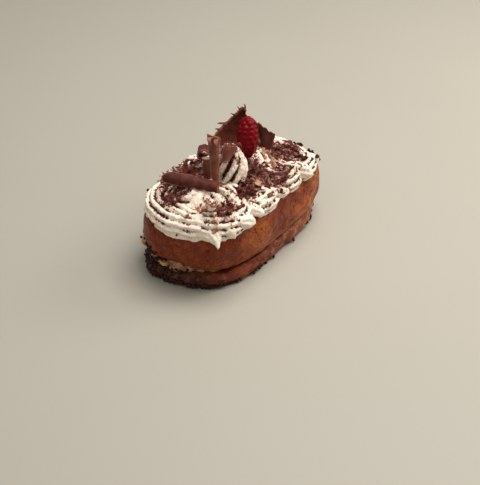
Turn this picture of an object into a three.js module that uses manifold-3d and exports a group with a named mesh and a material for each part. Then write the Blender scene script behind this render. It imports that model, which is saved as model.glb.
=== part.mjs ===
// An oblong cream pastry: a split, fried dough bun filled with custard and topped with piped whipped
// cream, a raspberry and large chocolate curls.
// Units are millimetres. The origin is at the centre of the pastry's footprint, on the surface it rests on.
// +X runs from the front end to the back end, +Y is to the left, +Z is up.
import * as THREE from "three";
import { mergeVertices } from "three/addons/utils/BufferGeometryUtils.js";
import Module from "manifold-3d";

const wasm = await Module();
wasm.setup();

// ---------------------------------------------------------------- driving dimensions

const LENGTH = 133; // the pastry from end to end
const WIDTH = 77;
const SQUARENESS = 3.15; // exponent of the outline: 2 is an ellipse, more is squarer
const SQUARER_BACK = 0.4; // added to it at the back end, and taken from it at the front end
const FRONT_SLANT = 0.13; // how far the front end leans forward on its left side, per millimetre of width
const FRONT_SHIFT = 0.5; // keeps the slanted outline centred on the origin
const TOP_HEIGHT = 43.5; // crown of the upper dough
const SPLIT_HEIGHT = 13.2; // middle of the split between the two doughs
const HINGE_HALF_GAP = 1.2; // half of the split's opening at its closed corner
const MOUTH_HALF_GAP = 4.8; // and at its open corner, at the front left
const GAP_GROWTH = 2.2; // over 1, the split widens mostly near its open corner
const CLEARANCE = 0.3; // between neighbouring pieces
const SMALLEST_EDGE = 0.02;

const ROPE_RIDGES = 8; // teeth of the star nozzle
const RIDGE_DEPTH = 0.17; // groove depth as a share of the rope's radius

// The cream is piped in four loops, from the front end to the back. halfLength and halfWidth reach to the
// outside of the cream, height is that of the rope's middle, and start is where the rope begins, in degrees.
// The heart is the mound that fills the loop and carries the toppings: its middle, half sizes and crown.
const LOOPS = {
  cream_front: {
    at: [-37.5, -1.8],
    halfLength: 27.8,
    halfWidth: 35.2,
    height: 46,
    radius: 9.6,
    start: -116,
    turns: 1.8,
    squareness: 2.4,
    heart: { at: [-37, 1], half: [17, 23], top: 60 },
  },
  cream_second: {
    at: [-8.5, -0.8],
    halfLength: 19,
    halfWidth: 37.6,
    height: 44.4,
    radius: 9.5,
    start: -40,
    turns: 1.15,
    squareness: 3.5,
    heart: { at: [-8, 6], half: [14, 24], top: 63 },
  },
  cream_third: {
    at: [17, -0.8],
    halfLength: 15.8,
    halfWidth: 37,
    height: 45.6,
    radius: 9.1,
    start: 100,
    turns: 1.1,
    squareness: 3.2,
    heart: { at: [13, -2], half: [18, 24], top: 64 },
  },
  cream_back: {
    at: [37, -0.5],
    halfLength: 17,
    halfWidth: 36.2,
    height: 44.8,
    radius: 9.4,
    start: 150,
    turns: 1.2,
    squareness: 3,
    heart: { at: [36, 0], half: [12, 24], top: 56 },
  },
};
const CREAM_SLANT = 0.1; // as for the dough
const CREAM_SAG = 4; // of the cream over the front end, and half as much again at its left corner
const TAIL = { length: 0.1, outward: 0.16, drop: 4.5 }; // the drawn-out tip where the front loop begins

const PEAK = { x: -9, y: -5.5, bottom: 50, height: 28, radius: 10.8, ridges: 7, depth: 0.36, twist: 1.6 };
const BERRY = { radius: 7.3, halfHeight: 14.1, drupelet: 2.3, at: [11, -3.4, 72.4], lean: 0.3 };

const SHEET_THICKNESS = 1.2;
// Rolled curls: the ends of the roll's own axis, how far round it goes and where its open side faces.
const ROLLS = {
  curl_lying: {
    from: [-42.8, 20, 61.2],
    to: [-31, -14.8, 60.6],
    radius: 5,
    arc: 2.7,
    facing: 2.1,
    taper: 0.12,
  },
  curl_small: {
    from: [-10.4, 15.6, 62.6],
    to: [-4.4, 20.1, 62.8],
    radius: 3.6,
    arc: 5.2,
    facing: 0.6,
    taper: 0.1,
  },
};
// Bent sheets: the upper left, upper right, lower left and lower right corners as seen from the front, and
// how far the middle bends out towards the front between the left and right edges.
const SHEETS = {
  curl_standing: {
    corners: [[-22.2, 2.6, 89.5], [-17.1, -2.6, 86.7], [-28.6, -6.4, 51.5], [-26, -8.2, 51.5]],
    bend: 2.6,
  },
  curl_shaded: {
    corners: [[-21.2, 8.1, 69.9], [-18.3, 4.1, 69.9], [-21.5, 6.7, 51], [-18.9, 3.2, 51]],
    bend: 1.4,
  },
  curl_on_peak: {
    corners: [[-14.4, -4.2, 81.4], [-8, -9.4, 77.2], [-19.9, -5.2, 69.3], [-17.7, -9.6, 71.5]],
    bend: 1.6,
  },
  sheet_left: {
    corners: [[-0.9, 15.9, 71.3], [19.6, 6.6, 87], [-0.3, 8.8, 60.5], [31.6, -4.7, 64]],
    bend: -2.8,
  },
  sheet_right: {
    corners: [[21.5, -3.4, 78.7], [31.1, -10.5, 67.2], [21.3, -5.7, 60.8], [27.4, -9, 54.6]],
    bend: 2.4,
  },
};

const OUTLINE_SEGMENTS = 34;
const TURN_STEPS = 13; // rings in one turn of a rope

// ---------------------------------------------------------------- solids and meshes

// A closed three.js geometry as a manifold-3d solid, moved by a matrix where one is given.
function solidOf(geometry, matrix = new THREE.Matrix4()) {
  const bare = (geometry.index ? geometry.toNonIndexed() : geometry.clone()).applyMatrix4(matrix);
  bare.deleteAttribute("normal");
  bare.deleteAttribute("uv");
  const merged = mergeVertices(bare, 1e-3);
  return new wasm.Manifold(
    new wasm.Mesh({
      numProp: 3,
      vertProperties: merged.attributes.position.array,
      triVerts: new Uint32Array(merged.index.array),
    }),
  );
}

// A manifold-3d solid as a three.js geometry. A cut can leave crumbs, so only the largest body is kept, and
// points almost on top of one another, which are merged.
function geometryOf(solid) {
  const bodies = solid.decompose().sort((a, b) => b.volume() - a.volume());
  const { numProp, vertProperties, triVerts } = bodies[0].getMesh();
  const points = [];
  for (let i = 0; i < vertProperties.length; i += numProp) points.push(...vertProperties.subarray(i, i + 3));
  const bare = new THREE.BufferGeometry();
  bare.setAttribute("position", new THREE.Float32BufferAttribute(points, 3));
  bare.setIndex([...triVerts]);
  const geometry = mergeVertices(bare, SMALLEST_EDGE);
  const corners = [...geometry.index.array];
  const faces = [];
  for (let i = 0; i < corners.length; i += 3) {
    const [a, b, c] = corners.slice(i, i + 3);
    if (a !== b && b !== c && c !== a) faces.push(a, b, c);
  }
  geometry.setIndex(faces);
  geometry.computeVertexNormals();
  return geometry;
}

const joined = (solids) => solids.reduce((sum, solid) => sum.add(solid));

// A closed skin over rings of points that follow one another. An end is closed by a fan round its middle,
// or, for the ring of a thin sheet, by a strip between the ring's two halves.
function skin(rings, thin = false) {
  const count = rings[0].length;
  const middle = (ring) => ring.reduce((sum, p) => sum.add(p), new THREE.Vector3()).divideScalar(count);
  const lastRing = (rings.length - 1) * count;
  const faces = [];
  for (let j = 0; j < count; j++) {
    const k = (j + 1) % count;
    for (let i = 0; i < lastRing; i += count) {
      faces.push(i + j, i + k, i + count + j);
      faces.push(i + k, i + count + k, i + count + j);
    }
    if (!thin) {
      faces.push(lastRing + count, k, j);
      faces.push(lastRing + count + 1, lastRing + j, lastRing + k);
    }
  }
  for (let j = 0; thin && j < count / 2 - 1; j++) {
    const corners = [j, j + 1, count - 2 - j, count - 1 - j];
    const [a, b, c, d] = corners.map((corner) => corner + lastRing);
    faces.push(corners[0], corners[2], corners[1], corners[0], corners[3], corners[2]);
    faces.push(a, b, c, a, c, d);
  }
  const points = thin ? rings.flat() : [...rings.flat(), middle(rings[0]), middle(rings.at(-1))];
  return new THREE.BufferGeometry().setFromPoints(points).setIndex(faces);
}

// ---------------------------------------------------------------- dough and filling

// How near the front end a point is: 0 from the middle backwards, 1 at the front end.
const nearFront = (x) => Math.max(0, -x / (LENGTH / 2)) ** 2;

const signedPower = (value, power) => Math.sign(value) * Math.abs(value) ** power;

// The pastry's outline seen from above, at an angle and a share of the way out from the centre.
function outlinePoint(angle, share) {
  const power = 2 / (SQUARENESS + SQUARER_BACK * Math.cos(angle));
  const x = (signedPower(Math.cos(angle), power) * share * LENGTH) / 2;
  const y = (signedPower(Math.sin(angle), power) * share * WIDTH) / 2;
  return new THREE.Vector2(x - FRONT_SLANT * y * nearFront(x) + FRONT_SHIFT, y);
}

// How open the split is at a point: -1 at the closed corner, at the back right, and 1 at the open one.
const openness = (x, y) => THREE.MathUtils.clamp(0.7 * (y / (WIDTH / 2) - x / (LENGTH / 2)), -1, 1);
const halfGap = (open) => THREE.MathUtils.lerp(HINGE_HALF_GAP, MOUTH_HALF_GAP, ((open + 1) / 2) ** GAP_GROWTH);
const splitTop = (x, y) => SPLIT_HEIGHT + halfGap(openness(x, y));
const splitBottom = (x, y) => SPLIT_HEIGHT - halfGap(openness(x, y));

// A layer of the pastry. The profile runs from the axis to the axis, in shares of the outline and of the
// layer's own height; floor, roof and reach give the layer's surfaces and how far out it comes.
function layer(profile, floor, roof, reach = () => 1) {
  const geometry = new THREE.LatheGeometry(profile, OUTLINE_SEGMENTS);
  const position = geometry.attributes.position;
  for (let i = 0; i < position.count; i++) {
    const share = Math.hypot(position.getX(i), position.getZ(i));
    const angle = -Math.atan2(position.getZ(i), position.getX(i));
    const rim = outlinePoint(angle, share);
    const { x, y } = outlinePoint(angle, share * reach(rim.x, rim.y));
    position.setXYZ(i, x, y, THREE.MathUtils.lerp(floor(x, y), roof(x, y), position.getY(i)));
  }
  return geometryOf(solidOf(geometry));
}

function baseProfile() {
  const path = new THREE.Path();
  path.moveTo(0, 0);
  path.lineTo(0.45, 0);
  path.lineTo(0.9, 0);
  path.bezierCurveTo(0.985, 0.02, 1.0, 0.35, 0.99, 0.62);
  path.quadraticCurveTo(0.985, 0.98, 0.93, 1);
  path.lineTo(0.5, 1);
  path.lineTo(0, 1);
  return path.getPoints(4);
}

function crownProfile() {
  const path = new THREE.Path();
  path.moveTo(0, 0);
  path.lineTo(0.5, 0);
  path.lineTo(0.9, 0);
  path.bezierCurveTo(0.985, 0.01, 1.003, 0.2, 1.0, 0.42);
  path.bezierCurveTo(0.998, 0.7, 0.975, 0.86, 0.9, 0.92);
  path.quadraticCurveTo(0.6, 1, 0, 1);
  return path.getPoints(5);
}

function fillingProfile() {
  const path = new THREE.Path();
  path.moveTo(0, 0);
  path.lineTo(0.94, 0);
  path.quadraticCurveTo(1, 0.1, 1, 0.5);
  path.quadraticCurveTo(1, 0.9, 0.94, 1);
  path.lineTo(0, 1);
  return path.getPoints(3);
}

const table = () => 0;
const crown = () => TOP_HEIGHT;
const baseReach = (x, y) => 0.975 + 0.025 * openness(x, y);
const baseDough = () => layer(baseProfile(), table, splitBottom, baseReach);
const topDough = (grow = 0) => layer(crownProfile(), splitTop, () => crown() + grow, () => 1 + grow / WIDTH);
const custard = () =>
  layer(
    fillingProfile(),
    (x, y) => splitBottom(x, y) + CLEARANCE,
    (x, y) => splitTop(x, y) - CLEARANCE,
    (x, y) => 0.93 + 0.055 * openness(x, y),
  );

// ---------------------------------------------------------------- piped cream

// A star section across a rope: ridges and grooves in turn, round a centre, square to the way it runs.
function starRing({ centre, along, radius, ridges = ROPE_RIDGES, depth = RIDGE_DEPTH, turn = 0 }) {
  const side = new THREE.Vector3().crossVectors(new THREE.Vector3(0, 0, 1), along);
  if (side.lengthSq() < 1e-6) side.set(1, 0, 0);
  side.normalize();
  const up = new THREE.Vector3().crossVectors(along, side).normalize();
  return Array.from({ length: 2 * ridges }, (_, i) => {
    const angle = turn + (i * Math.PI) / ridges;
    const reach = radius * (i % 2 ? 1 - depth : 1);
    return centre
      .clone()
      .addScaledVector(side, reach * Math.cos(angle))
      .addScaledVector(up, reach * Math.sin(angle));
  });
}

// One solid from a rope's rings. It is skinned in short runs, because a closed skin may not cross itself.
function rope(rings, run = 6) {
  const runs = [];
  for (let i = 0; i < rings.length - 1; i += run) runs.push(solidOf(skin(rings.slice(i, i + run + 1))));
  return joined(runs);
}

// Where a loop's rope is after some turns, clockwise seen from above: once round the outside, then inwards
// and up to the middle. grow thickens the rope.
function loopStop(loop, turned, grow) {
  const angle = THREE.MathUtils.degToRad(loop.start) - turned * 2 * Math.PI;
  const inward = THREE.MathUtils.smoothstep(turned, 0.8, 1.9);
  const tail = loop === LOOPS.cream_front ? 1 - THREE.MathUtils.smoothstep(turned, 0, TAIL.length) : 0;
  const end = THREE.MathUtils.smoothstep(turned, loop.turns - 0.25, loop.turns);
  const size = (1 - 0.7 * inward) * (1 + TAIL.outward * tail);
  const roundness = 2 / THREE.MathUtils.lerp(loop.squareness, 2, inward);
  const x = loop.at[0] + signedPower(Math.cos(angle), roundness) * (loop.halfLength - loop.radius) * size;
  const y = loop.at[1] + signedPower(Math.sin(angle), roundness) * (loop.halfWidth - loop.radius) * size;
  const sag = CREAM_SAG * nearFront(x) * (1 + y / WIDTH);
  const z = loop.height - sag - TAIL.drop * tail + 7 * inward + 2 * end;
  return {
    centre: new THREE.Vector3(x - CREAM_SLANT * y * nearFront(x), y, z),
    radius: loop.radius * (1 - 0.7 * tail) * (1 - 0.2 * inward) * (1 - 0.35 * end) + grow,
  };
}

function creamLoop(loop, grow = 0) {
  const steps = Math.round(TURN_STEPS * loop.turns);
  const stops = Array.from({ length: steps + 1 }, (_, i) => loopStop(loop, (i / steps) * loop.turns, grow));
  const rings = stops.map(({ centre, radius }, i) => {
    const before = stops[Math.max(0, i - 1)].centre;
    const after = stops[Math.min(steps, i + 1)].centre;
    const along = new THREE.Vector3().subVectors(after, before).normalize();
    return starRing({ centre, along, radius, turn: Math.PI / ROPE_RIDGES });
  });
  return rope(rings).add(heart(loop.heart, grow));
}

// The mound in a loop: a dome with twisted ridges, its foot inside the dough.
function heart({ at, half, top }, grow) {
  const foot = TOP_HEIGHT - 5;
  const rings = [0, 0.35, 0.65, 0.92].map((step) =>
    starRing({
      centre: new THREE.Vector3(0, 0, (top - foot + grow) * Math.sin((step * Math.PI) / 2)),
      along: new THREE.Vector3(0, 0, 1),
      radius: Math.cos((step * Math.PI) / 2) * half[0] + grow,
      ridges: 7,
      depth: 0.14,
      turn: 0.9 * step,
    }),
  );
  const dome = skin(rings);
  dome.scale(1, half[1] / half[0], 1);
  dome.translate(...at, foot);
  return solidOf(dome);
}

// The tall kiss of cream in the middle: a twisted star that swells and then closes to a point.
function peak(grow = 0) {
  const steps = 12;
  const rings = Array.from({ length: steps + 1 }, (_, i) => {
    const rise = i / steps;
    const swell = Math.sin(Math.PI * (0.24 + 0.72 * rise ** 1.15)) ** 0.8;
    return starRing({
      centre: new THREE.Vector3(PEAK.x, PEAK.y + 2 * rise ** 2, PEAK.bottom + PEAK.height * rise + grow * rise),
      along: new THREE.Vector3(0, 0, 1),
      radius: PEAK.radius * swell + grow,
      ridges: PEAK.ridges,
      depth: PEAK.depth * Math.min(1, 0.3 + 2 * rise),
      turn: PEAK.twist * rise,
    });
  });
  return rope(rings, steps);
}

// ---------------------------------------------------------------- raspberry

// Centres of the drupelets, in rows round the berry's own axis.
function drupeletCentres() {
  const rows = 9;
  const centres = [];
  for (let row = 0; row < rows; row++) {
    const latitude = THREE.MathUtils.lerp(-1.25, 1.4, row / (rows - 1));
    const ring = (BERRY.radius - BERRY.drupelet) * Math.cos(latitude);
    const height = (BERRY.halfHeight - BERRY.drupelet) * Math.sin(latitude);
    const count = Math.max(1, Math.round((2 * Math.PI * ring) / (1.65 * BERRY.drupelet)));
    for (let i = 0; i < count; i++) {
      const angle = ((i + 0.5 * (row % 2)) * 2 * Math.PI) / count;
      centres.push(new THREE.Vector3(ring * Math.cos(angle), ring * Math.sin(angle), height));
    }
  }
  return centres;
}

// A sphere's points are pushed out to the furthest drupelet on their line from the berry's middle.
function raspberry(grow = 0) {
  const centres = drupeletCentres();
  const geometry = new THREE.SphereGeometry(1, 24, 18);
  const position = geometry.attributes.position;
  const way = new THREE.Vector3();
  for (let i = 0; i < position.count; i++) {
    way.fromBufferAttribute(position, i);
    way.set(way.x * BERRY.radius, -way.z * BERRY.radius, way.y * BERRY.halfHeight).normalize();
    let reach = 0.78 / Math.hypot(way.x / BERRY.radius, way.y / BERRY.radius, way.z / BERRY.halfHeight);
    for (const centre of centres) {
      const along = centre.dot(way);
      const depth = BERRY.drupelet ** 2 - centre.lengthSq() + along ** 2;
      if (depth > 0) reach = Math.max(reach, along + Math.sqrt(depth));
    }
    way.multiplyScalar(reach + grow);
    position.setXYZ(i, way.x, way.y, way.z);
  }
  return geometry;
}

// ---------------------------------------------------------------- chocolate

// A thin sheet over a surface, which gives a point for every across and down from 0 to 1. grow thickens
// the sheet and carries it past its edges.
function thinSheet(surface, width, length, grow, steps = 5) {
  const rings = [];
  const at = (i, size) => THREE.MathUtils.lerp(-grow / size, 1 + grow / size, i / steps);
  for (let i = 0; i <= steps; i++) {
    const front = [];
    const back = [];
    for (let j = 0; j <= steps; j++) {
      const [across, down] = [at(j, width), at(i, length)];
      const point = surface(across, down);
      const alongAcross = surface(across + 0.01, down).sub(surface(across - 0.01, down));
      const alongDown = surface(across, down + 0.01).sub(surface(across, down - 0.01));
      const normal = alongAcross.cross(alongDown).setLength(SHEET_THICKNESS / 2 + grow);
      front.push(point.clone().add(normal));
      back.unshift(point.sub(normal));
    }
    rings.push([...back, ...front]);
  }
  return skin(rings, true);
}

// A sheet between four corners, bent out between its left and right edges.
function bentSheet({ corners, bend }, grow = 0) {
  const [upperLeft, upperRight, lowerLeft, lowerRight] = corners.map((corner) => new THREE.Vector3(...corner));
  const down = new THREE.Vector3().subVectors(lowerLeft, upperLeft);
  const out = down.cross(new THREE.Vector3().subVectors(upperRight, upperLeft)).normalize();
  const surface = (across, share) => {
    const upper = upperLeft.clone().lerp(upperRight, across);
    const lower = lowerLeft.clone().lerp(lowerRight, across);
    return upper.lerp(lower, share).addScaledVector(out, bend * 4 * across * (1 - across));
  };
  return thinSheet(surface, upperLeft.distanceTo(upperRight), upperLeft.distanceTo(lowerLeft), grow);
}

// A sheet rolled round the line between two points, its radius shrinking towards the second.
function rolledSheet({ from, to, radius, arc, facing, taper }, grow = 0) {
  const [start, finish] = [new THREE.Vector3(...from), new THREE.Vector3(...to)];
  const along = new THREE.Vector3().subVectors(finish, start);
  const side = new THREE.Vector3(0, 0, 1).cross(along).normalize();
  const up = new THREE.Vector3().crossVectors(along, side).normalize();
  const surface = (across, down) => {
    const angle = facing + arc * (across - 0.5);
    const reach = radius * (1 - taper * down);
    return start
      .clone()
      .addScaledVector(along, down + 0.03 * Math.cos(6 * across))
      .addScaledVector(side, reach * Math.cos(angle))
      .addScaledVector(up, reach * Math.sin(angle));
  };
  return thinSheet(surface, radius * arc, along.length(), grow, 7);
}

// ---------------------------------------------------------------- assembly

const MATERIALS = {
  dough: { color: "#a35d2c", roughness: 0.42 },
  under_dough: { color: "#8a4a2b", roughness: 0.55 },
  custard: { color: "#d9b877", roughness: 0.4 },
  cream: { color: "#f1ece0", roughness: 0.5 },
  berry: { color: "#8c1420", roughness: 0.35 },
  chocolate: { color: "#4a2a22", roughness: 0.5 },
};

const pastry = new THREE.Group();

function place(name, geometry, look) {
  const mesh = new THREE.Mesh(geometry, new THREE.MeshStandardMaterial({ metalness: 0, ...MATERIALS[look] }));
  mesh.name = name;
  pastry.add(mesh);
  return mesh;
}

place("base_dough", baseDough(), "under_dough");
place("custard_filling", custard(), "custard");
place("top_dough", topDough(), "dough");

// The berry and the chocolate keep their form, and the cream is cut to leave the clearance round them.
const sunkInCream = [];

function placeTopping(name, look, shapeAt, orient = () => {}) {
  const mesh = place(name, geometryOf(solidOf(shapeAt(0))), look);
  orient(mesh);
  mesh.updateMatrix();
  sunkInCream.push(solidOf(shapeAt(CLEARANCE), mesh.matrix));
}

placeTopping("raspberry", "berry", raspberry, (mesh) => {
  mesh.position.set(...BERRY.at);
  mesh.quaternion.setFromAxisAngle(new THREE.Vector3(-0.6, 0.8, 0), BERRY.lean);
});
for (const [name, roll] of Object.entries(ROLLS)) {
  placeTopping(name, "chocolate", (grow) => rolledSheet(roll, grow));
}
for (const [name, sheet] of Object.entries(SHEETS)) {
  placeTopping(name, "chocolate", (grow) => bentSheet(sheet, grow));
}

// Each piece of cream is then cut by the dough, the toppings and the cream that was piped over it.
const cuts = [solidOf(topDough(CLEARANCE)), joined(sunkInCream)];

function placeCream(name, solid, solidWithClearance) {
  place(name, geometryOf(cuts.reduce((left, cut) => left.subtract(cut), solid)), "cream");
  cuts.push(solidWithClearance);
}

placeCream("cream_peak", peak(), peak(CLEARANCE));
for (const name of ["cream_third", "cream_second", "cream_front", "cream_back"]) {
  placeCream(name, creamLoop(LOOPS[name]), creamLoop(LOOPS[name], CLEARANCE));
}

export default pastry;
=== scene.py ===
"""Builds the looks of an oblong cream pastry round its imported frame: a split, fried dough bun filled with
custard and topped with piped whipped cream, a raspberry, chocolate curls, shavings and vermicelli.

Everything is in metres. +X runs from the front end to the back end, +Y is to the left, +Z is up.
"""

import math
from collections import namedtuple

import bpy
import numpy as np
from bpy.props import FloatProperty, FloatVectorProperty, IntProperty, PointerProperty
from mathutils import Euler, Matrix, Quaternion, Vector, noise


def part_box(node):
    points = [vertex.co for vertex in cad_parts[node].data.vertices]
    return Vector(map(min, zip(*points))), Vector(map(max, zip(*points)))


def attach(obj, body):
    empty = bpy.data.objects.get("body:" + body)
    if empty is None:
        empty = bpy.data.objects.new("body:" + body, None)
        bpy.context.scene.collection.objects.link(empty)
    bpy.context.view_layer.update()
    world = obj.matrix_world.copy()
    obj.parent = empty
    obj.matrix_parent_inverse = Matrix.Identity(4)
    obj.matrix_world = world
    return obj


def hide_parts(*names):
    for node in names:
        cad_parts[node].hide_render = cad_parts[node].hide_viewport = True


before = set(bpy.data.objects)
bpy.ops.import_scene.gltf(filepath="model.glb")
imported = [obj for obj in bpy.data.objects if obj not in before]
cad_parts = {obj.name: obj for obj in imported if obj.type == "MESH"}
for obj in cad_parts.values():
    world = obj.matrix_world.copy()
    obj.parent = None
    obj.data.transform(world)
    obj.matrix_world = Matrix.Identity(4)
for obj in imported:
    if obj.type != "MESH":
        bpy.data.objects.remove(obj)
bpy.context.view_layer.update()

bl_info = {
    "name": "Cream pastry",
    "version": (1, 0, 0),
    "blender": (4, 5, 0),
    "location": "View3D > Sidebar > Pastry",
    "description": "Models a filled dough bun with piped cream, a raspberry and chocolate",
    "category": "Object",
}


# ---------------------------------------------------------------- sizes


def mm(*sizes):
    """One size or several, given in millimetres, in metres."""
    scaled = np.array(sizes, float) * 0.001
    return scaled if len(sizes) > 1 else float(scaled[0])


def srgb(*levels):
    """A colour given as 0 to 255 on a screen, as the linear colour that shaders take."""
    return tuple(((c / 255 + 0.055) / 1.055) ** 2.4 if c > 10 else c / 255 / 12.92 for c in levels)


UPPER_LOW, UPPER_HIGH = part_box("top_dough")
LENGTH = UPPER_HIGH.x - UPPER_LOW.x - mm(0.5)  # the front end leans, which makes the box a little longer
WIDTH = UPPER_HIGH.y - UPPER_LOW.y
DOUGH_TOP = UPPER_HIGH.z
SPLIT_HEIGHT = mm(13.2)  # middle of the split between the two doughs
HINGE_HALF_GAP = mm(1.2)  # half of the split's opening at its closed corner, at the back right
MOUTH_HALF_GAP = mm(4.8)  # and at its open corner, at the front left
GAP_GROWTH = 2.2  # over 1, the split widens mostly near its open corner
SQUARENESS = 3.15  # exponent of the outline: 2 is an ellipse, more is squarer
SQUARER_BACK = 0.4  # added to it at the back end, taken off at the front end
FRONT_SLANT = 0.13  # how far the front end leans, its left side forwards
FRONT_SHIFT = mm(0.5)

CREAM_VOXEL = mm(0.5)
CREAM_SLANT = 0.1  # as FRONT_SLANT
CREAM_SAG = mm(4)  # of the cream towards the front end
TAIL_LENGTH = 0.1  # of the drawn-out tip where the front loop begins, in turns
TAIL_OUTWARD = 0.16
TAIL_DROP = mm(4.5)
INNER_RISE = mm(7)  # of a loop's rope where it turns inwards
END_RISE = mm(2)

# The cream is piped in four loops. half reaches to the outside of the cream, height is that of the rope's
# middle, and start is where the rope begins. The heart is the mound that fills the loop.
Loop = namedtuple("Loop", "at half height radius start turns squareness heart_at heart_half heart_top")
LOOPS = {
    "cream_third": Loop(
        mm(17, -0.8), mm(15.8, 37), mm(45.6), mm(9.1), math.radians(100), 1.1, 3.2,
        mm(13, -2), mm(18, 24), mm(64),
    ),
    "cream_second": Loop(
        mm(-8.5, -0.8), mm(19, 37.6), mm(44.4), mm(9.5), math.radians(-40), 1.15, 3.5,
        mm(-8, 6), mm(14, 24), mm(63),
    ),
    "cream_front": Loop(
        mm(-37.5, -1.8), mm(27.8, 35.2), mm(46), mm(9.6), math.radians(-116), 1.8, 2.4,
        mm(-37, 1), mm(17, 23), mm(60),
    ),
    "cream_back": Loop(
        mm(37, -0.5), mm(17, 36.2), mm(44.8), mm(9.4), math.radians(150), 1.2, 3.0,
        mm(36, 0), mm(12, 24), mm(56),
    ),
}
HEART_FOOT = DOUGH_TOP - mm(5)
HEART_RIDGES = 9
HEART_TWIST = 1.6  # radians from foot to top

# Short strokes of the nozzle over the loops' sides: the loop that each belongs to, where it begins, passes
# and ends, its radius and how far it closes to a point.
Stroke = namedtuple("Stroke", "loop begin middle end radius point")
STROKES = [
    Stroke("cream_front", mm(-54, -16, 44), mm(-54, -26, 43), mm(-58.5, -32.5, 37.5), mm(4.8), 0.9),
    Stroke("cream_front", mm(-46, -22, 48), mm(-45, -30, 45), mm(-45.5, -35.5, 40.5), mm(4.6), 0.7),
    Stroke("cream_front", mm(-46, -20, 50), mm(-37.5, -30, 47.5), mm(-27, -36.8, 43), mm(5.6), 0.3),
    Stroke("cream_front", mm(-23, -14, 54), mm(-29.5, -26, 51), mm(-34, -34, 46), mm(3.4), 0.4),
    Stroke("cream_front", mm(-44, -15, 56), mm(-46.5, -18, 59), mm(-49.5, -21.5, 57.8), mm(3.6), 0.2),
    Stroke("cream_second", mm(-26, -22, 49), mm(-22, -31, 47), mm(-17.5, -36.6, 43), mm(4.4), 0.4),
    Stroke("cream_second", mm(-22, -24, 50), mm(-14, -31, 47.5), mm(-5.5, -36, 43.5), mm(4.6), 0.3),
    Stroke("cream_second", mm(-18, -19, 52), mm(-6, -28, 50), mm(10, -36.2, 44.5), mm(5.4), 0.2),
    Stroke("cream_third", mm(-5, -21, 54), mm(5, -27, 52.5), mm(15, -30.5, 50.5), mm(4.2), 0.8),
    Stroke("cream_third", mm(12, -24, 51), mm(18, -31, 48), mm(24, -35.8, 43.5), mm(4.6), 0.3),
    Stroke("cream_back", mm(25, -22, 51), mm(31, -31, 48), mm(37, -35.6, 43.5), mm(4.8), 0.3),
    Stroke("cream_back", mm(40, -20, 50), mm(46, -28, 47), mm(50, -30.5, 43), mm(4.4), 0.3),
    Stroke("cream_front", mm(-36, 22, 50), mm(-33, 30, 47), mm(-27, 36.4, 43), mm(5), 0.3),
    Stroke("cream_second", mm(-24, 22, 50), mm(-20, 31, 47), mm(-15, 36.6, 43), mm(4.8), 0.3),
    Stroke("cream_second", mm(-8, 22, 51), mm(-4, 30, 48), mm(2, 36.6, 43), mm(4.6), 0.3),
    Stroke("cream_third", mm(4, 22, 51), mm(9, 30, 48), mm(16, 36, 43), mm(4.6), 0.4),
    Stroke("cream_back", mm(21, 22, 50), mm(26, 31, 47), mm(33, 35.6, 43), mm(4.8), 0.3),
]
STROKE_RIDGES = 7

PEAK_AT = mm(-9, -5.5)
PEAK_LOW, PEAK_HIGH = (corner.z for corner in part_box("cream_peak"))
PEAK_RADIUS = mm(10.8)
PEAK_RIDGES = 7
PEAK_TWIST = 2.1  # radians from foot to tip
PEAK_TURN = -2.89  # turns its grooves to where they are seen
PEAK_GROOVE = 0.66  # depth of its grooves, as a share of its radius
PEAK_LEAN = mm(2)  # of its tip, to the left

BERRY_AT = mm(11, -3.4, 72.4)
BERRY_RADIUS = mm(7.3)
BERRY_HALF_HEIGHT = mm(14.1)
BERRY_LEAN = Quaternion((-0.6, 0.8, 0), 0.3)
DRUPELET = mm(2.05)
DRUPELET_ROWS = 11
LOWEST_DRUPELETS = -1.25  # latitude on the berry, in radians
HIGHEST_DRUPELETS = 1.4

# Rolled curls: the ends of the roll's own axis, its radius, how far round it goes, where its middle faces,
# how much thinner it ends and how far its edges are slanted, in shares of its length.
Roll = namedtuple("Roll", "start end radius arc facing taper skew")
ROLLS = {
    "curl_lying": Roll(mm(-42.8, 20, 61.2), mm(-31, -14.8, 60.6), mm(4.3), 2.35, 2.2, 0.1, -0.13),
    "curl_small": Roll(mm(-10.4, 15.6, 62.6), mm(-4.4, 20.1, 62.8), mm(3.6), 5.2, 0.6, 0.1, 0.1),
}
# Bent sheets: the upper left, upper right, lower left and lower right corners as seen from the front, how
# far the middle bends out towards the front, and how deep their edges are broken.
Sheet = namedtuple("Sheet", "upper_left upper_right lower_left lower_right bend ragged")
SHEETS = {
    "curl_standing": Sheet(
        mm(-22.2, 2.6, 89.5), mm(-17.1, -2.6, 86.7), mm(-28.6, -6.4, 51.5), mm(-26, -8.2, 51.5),
        mm(2.6), mm(0.8),
    ),
    "curl_shaded": Sheet(
        mm(-21.2, 8.1, 69.9), mm(-18.3, 4.1, 69.9), mm(-21.5, 6.7, 51), mm(-18.9, 3.2, 51),
        mm(1.4), mm(0.7),
    ),
    "curl_on_peak": Sheet(
        mm(-14.4, -4.2, 81.4), mm(-8, -9.4, 77.2), mm(-19.9, -5.2, 69.3), mm(-17.7, -9.6, 71.5),
        mm(1.6), mm(0.6),
    ),
    "sheet_left": Sheet(
        mm(-0.9, 15.9, 71.3), mm(19.6, 6.6, 87), mm(-0.3, 8.8, 60.5), mm(31.6, -4.7, 64),
        mm(-2.8), mm(1.6),
    ),
    "sheet_right": Sheet(
        mm(21.5, -3.4, 78.7), mm(31.1, -10.5, 67.2), mm(21.3, -5.7, 60.8), mm(27.4, -9, 54.6),
        mm(2.4), mm(1.1),
    ),
}
SHEET_THICKNESS = mm(0.9)

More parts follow.
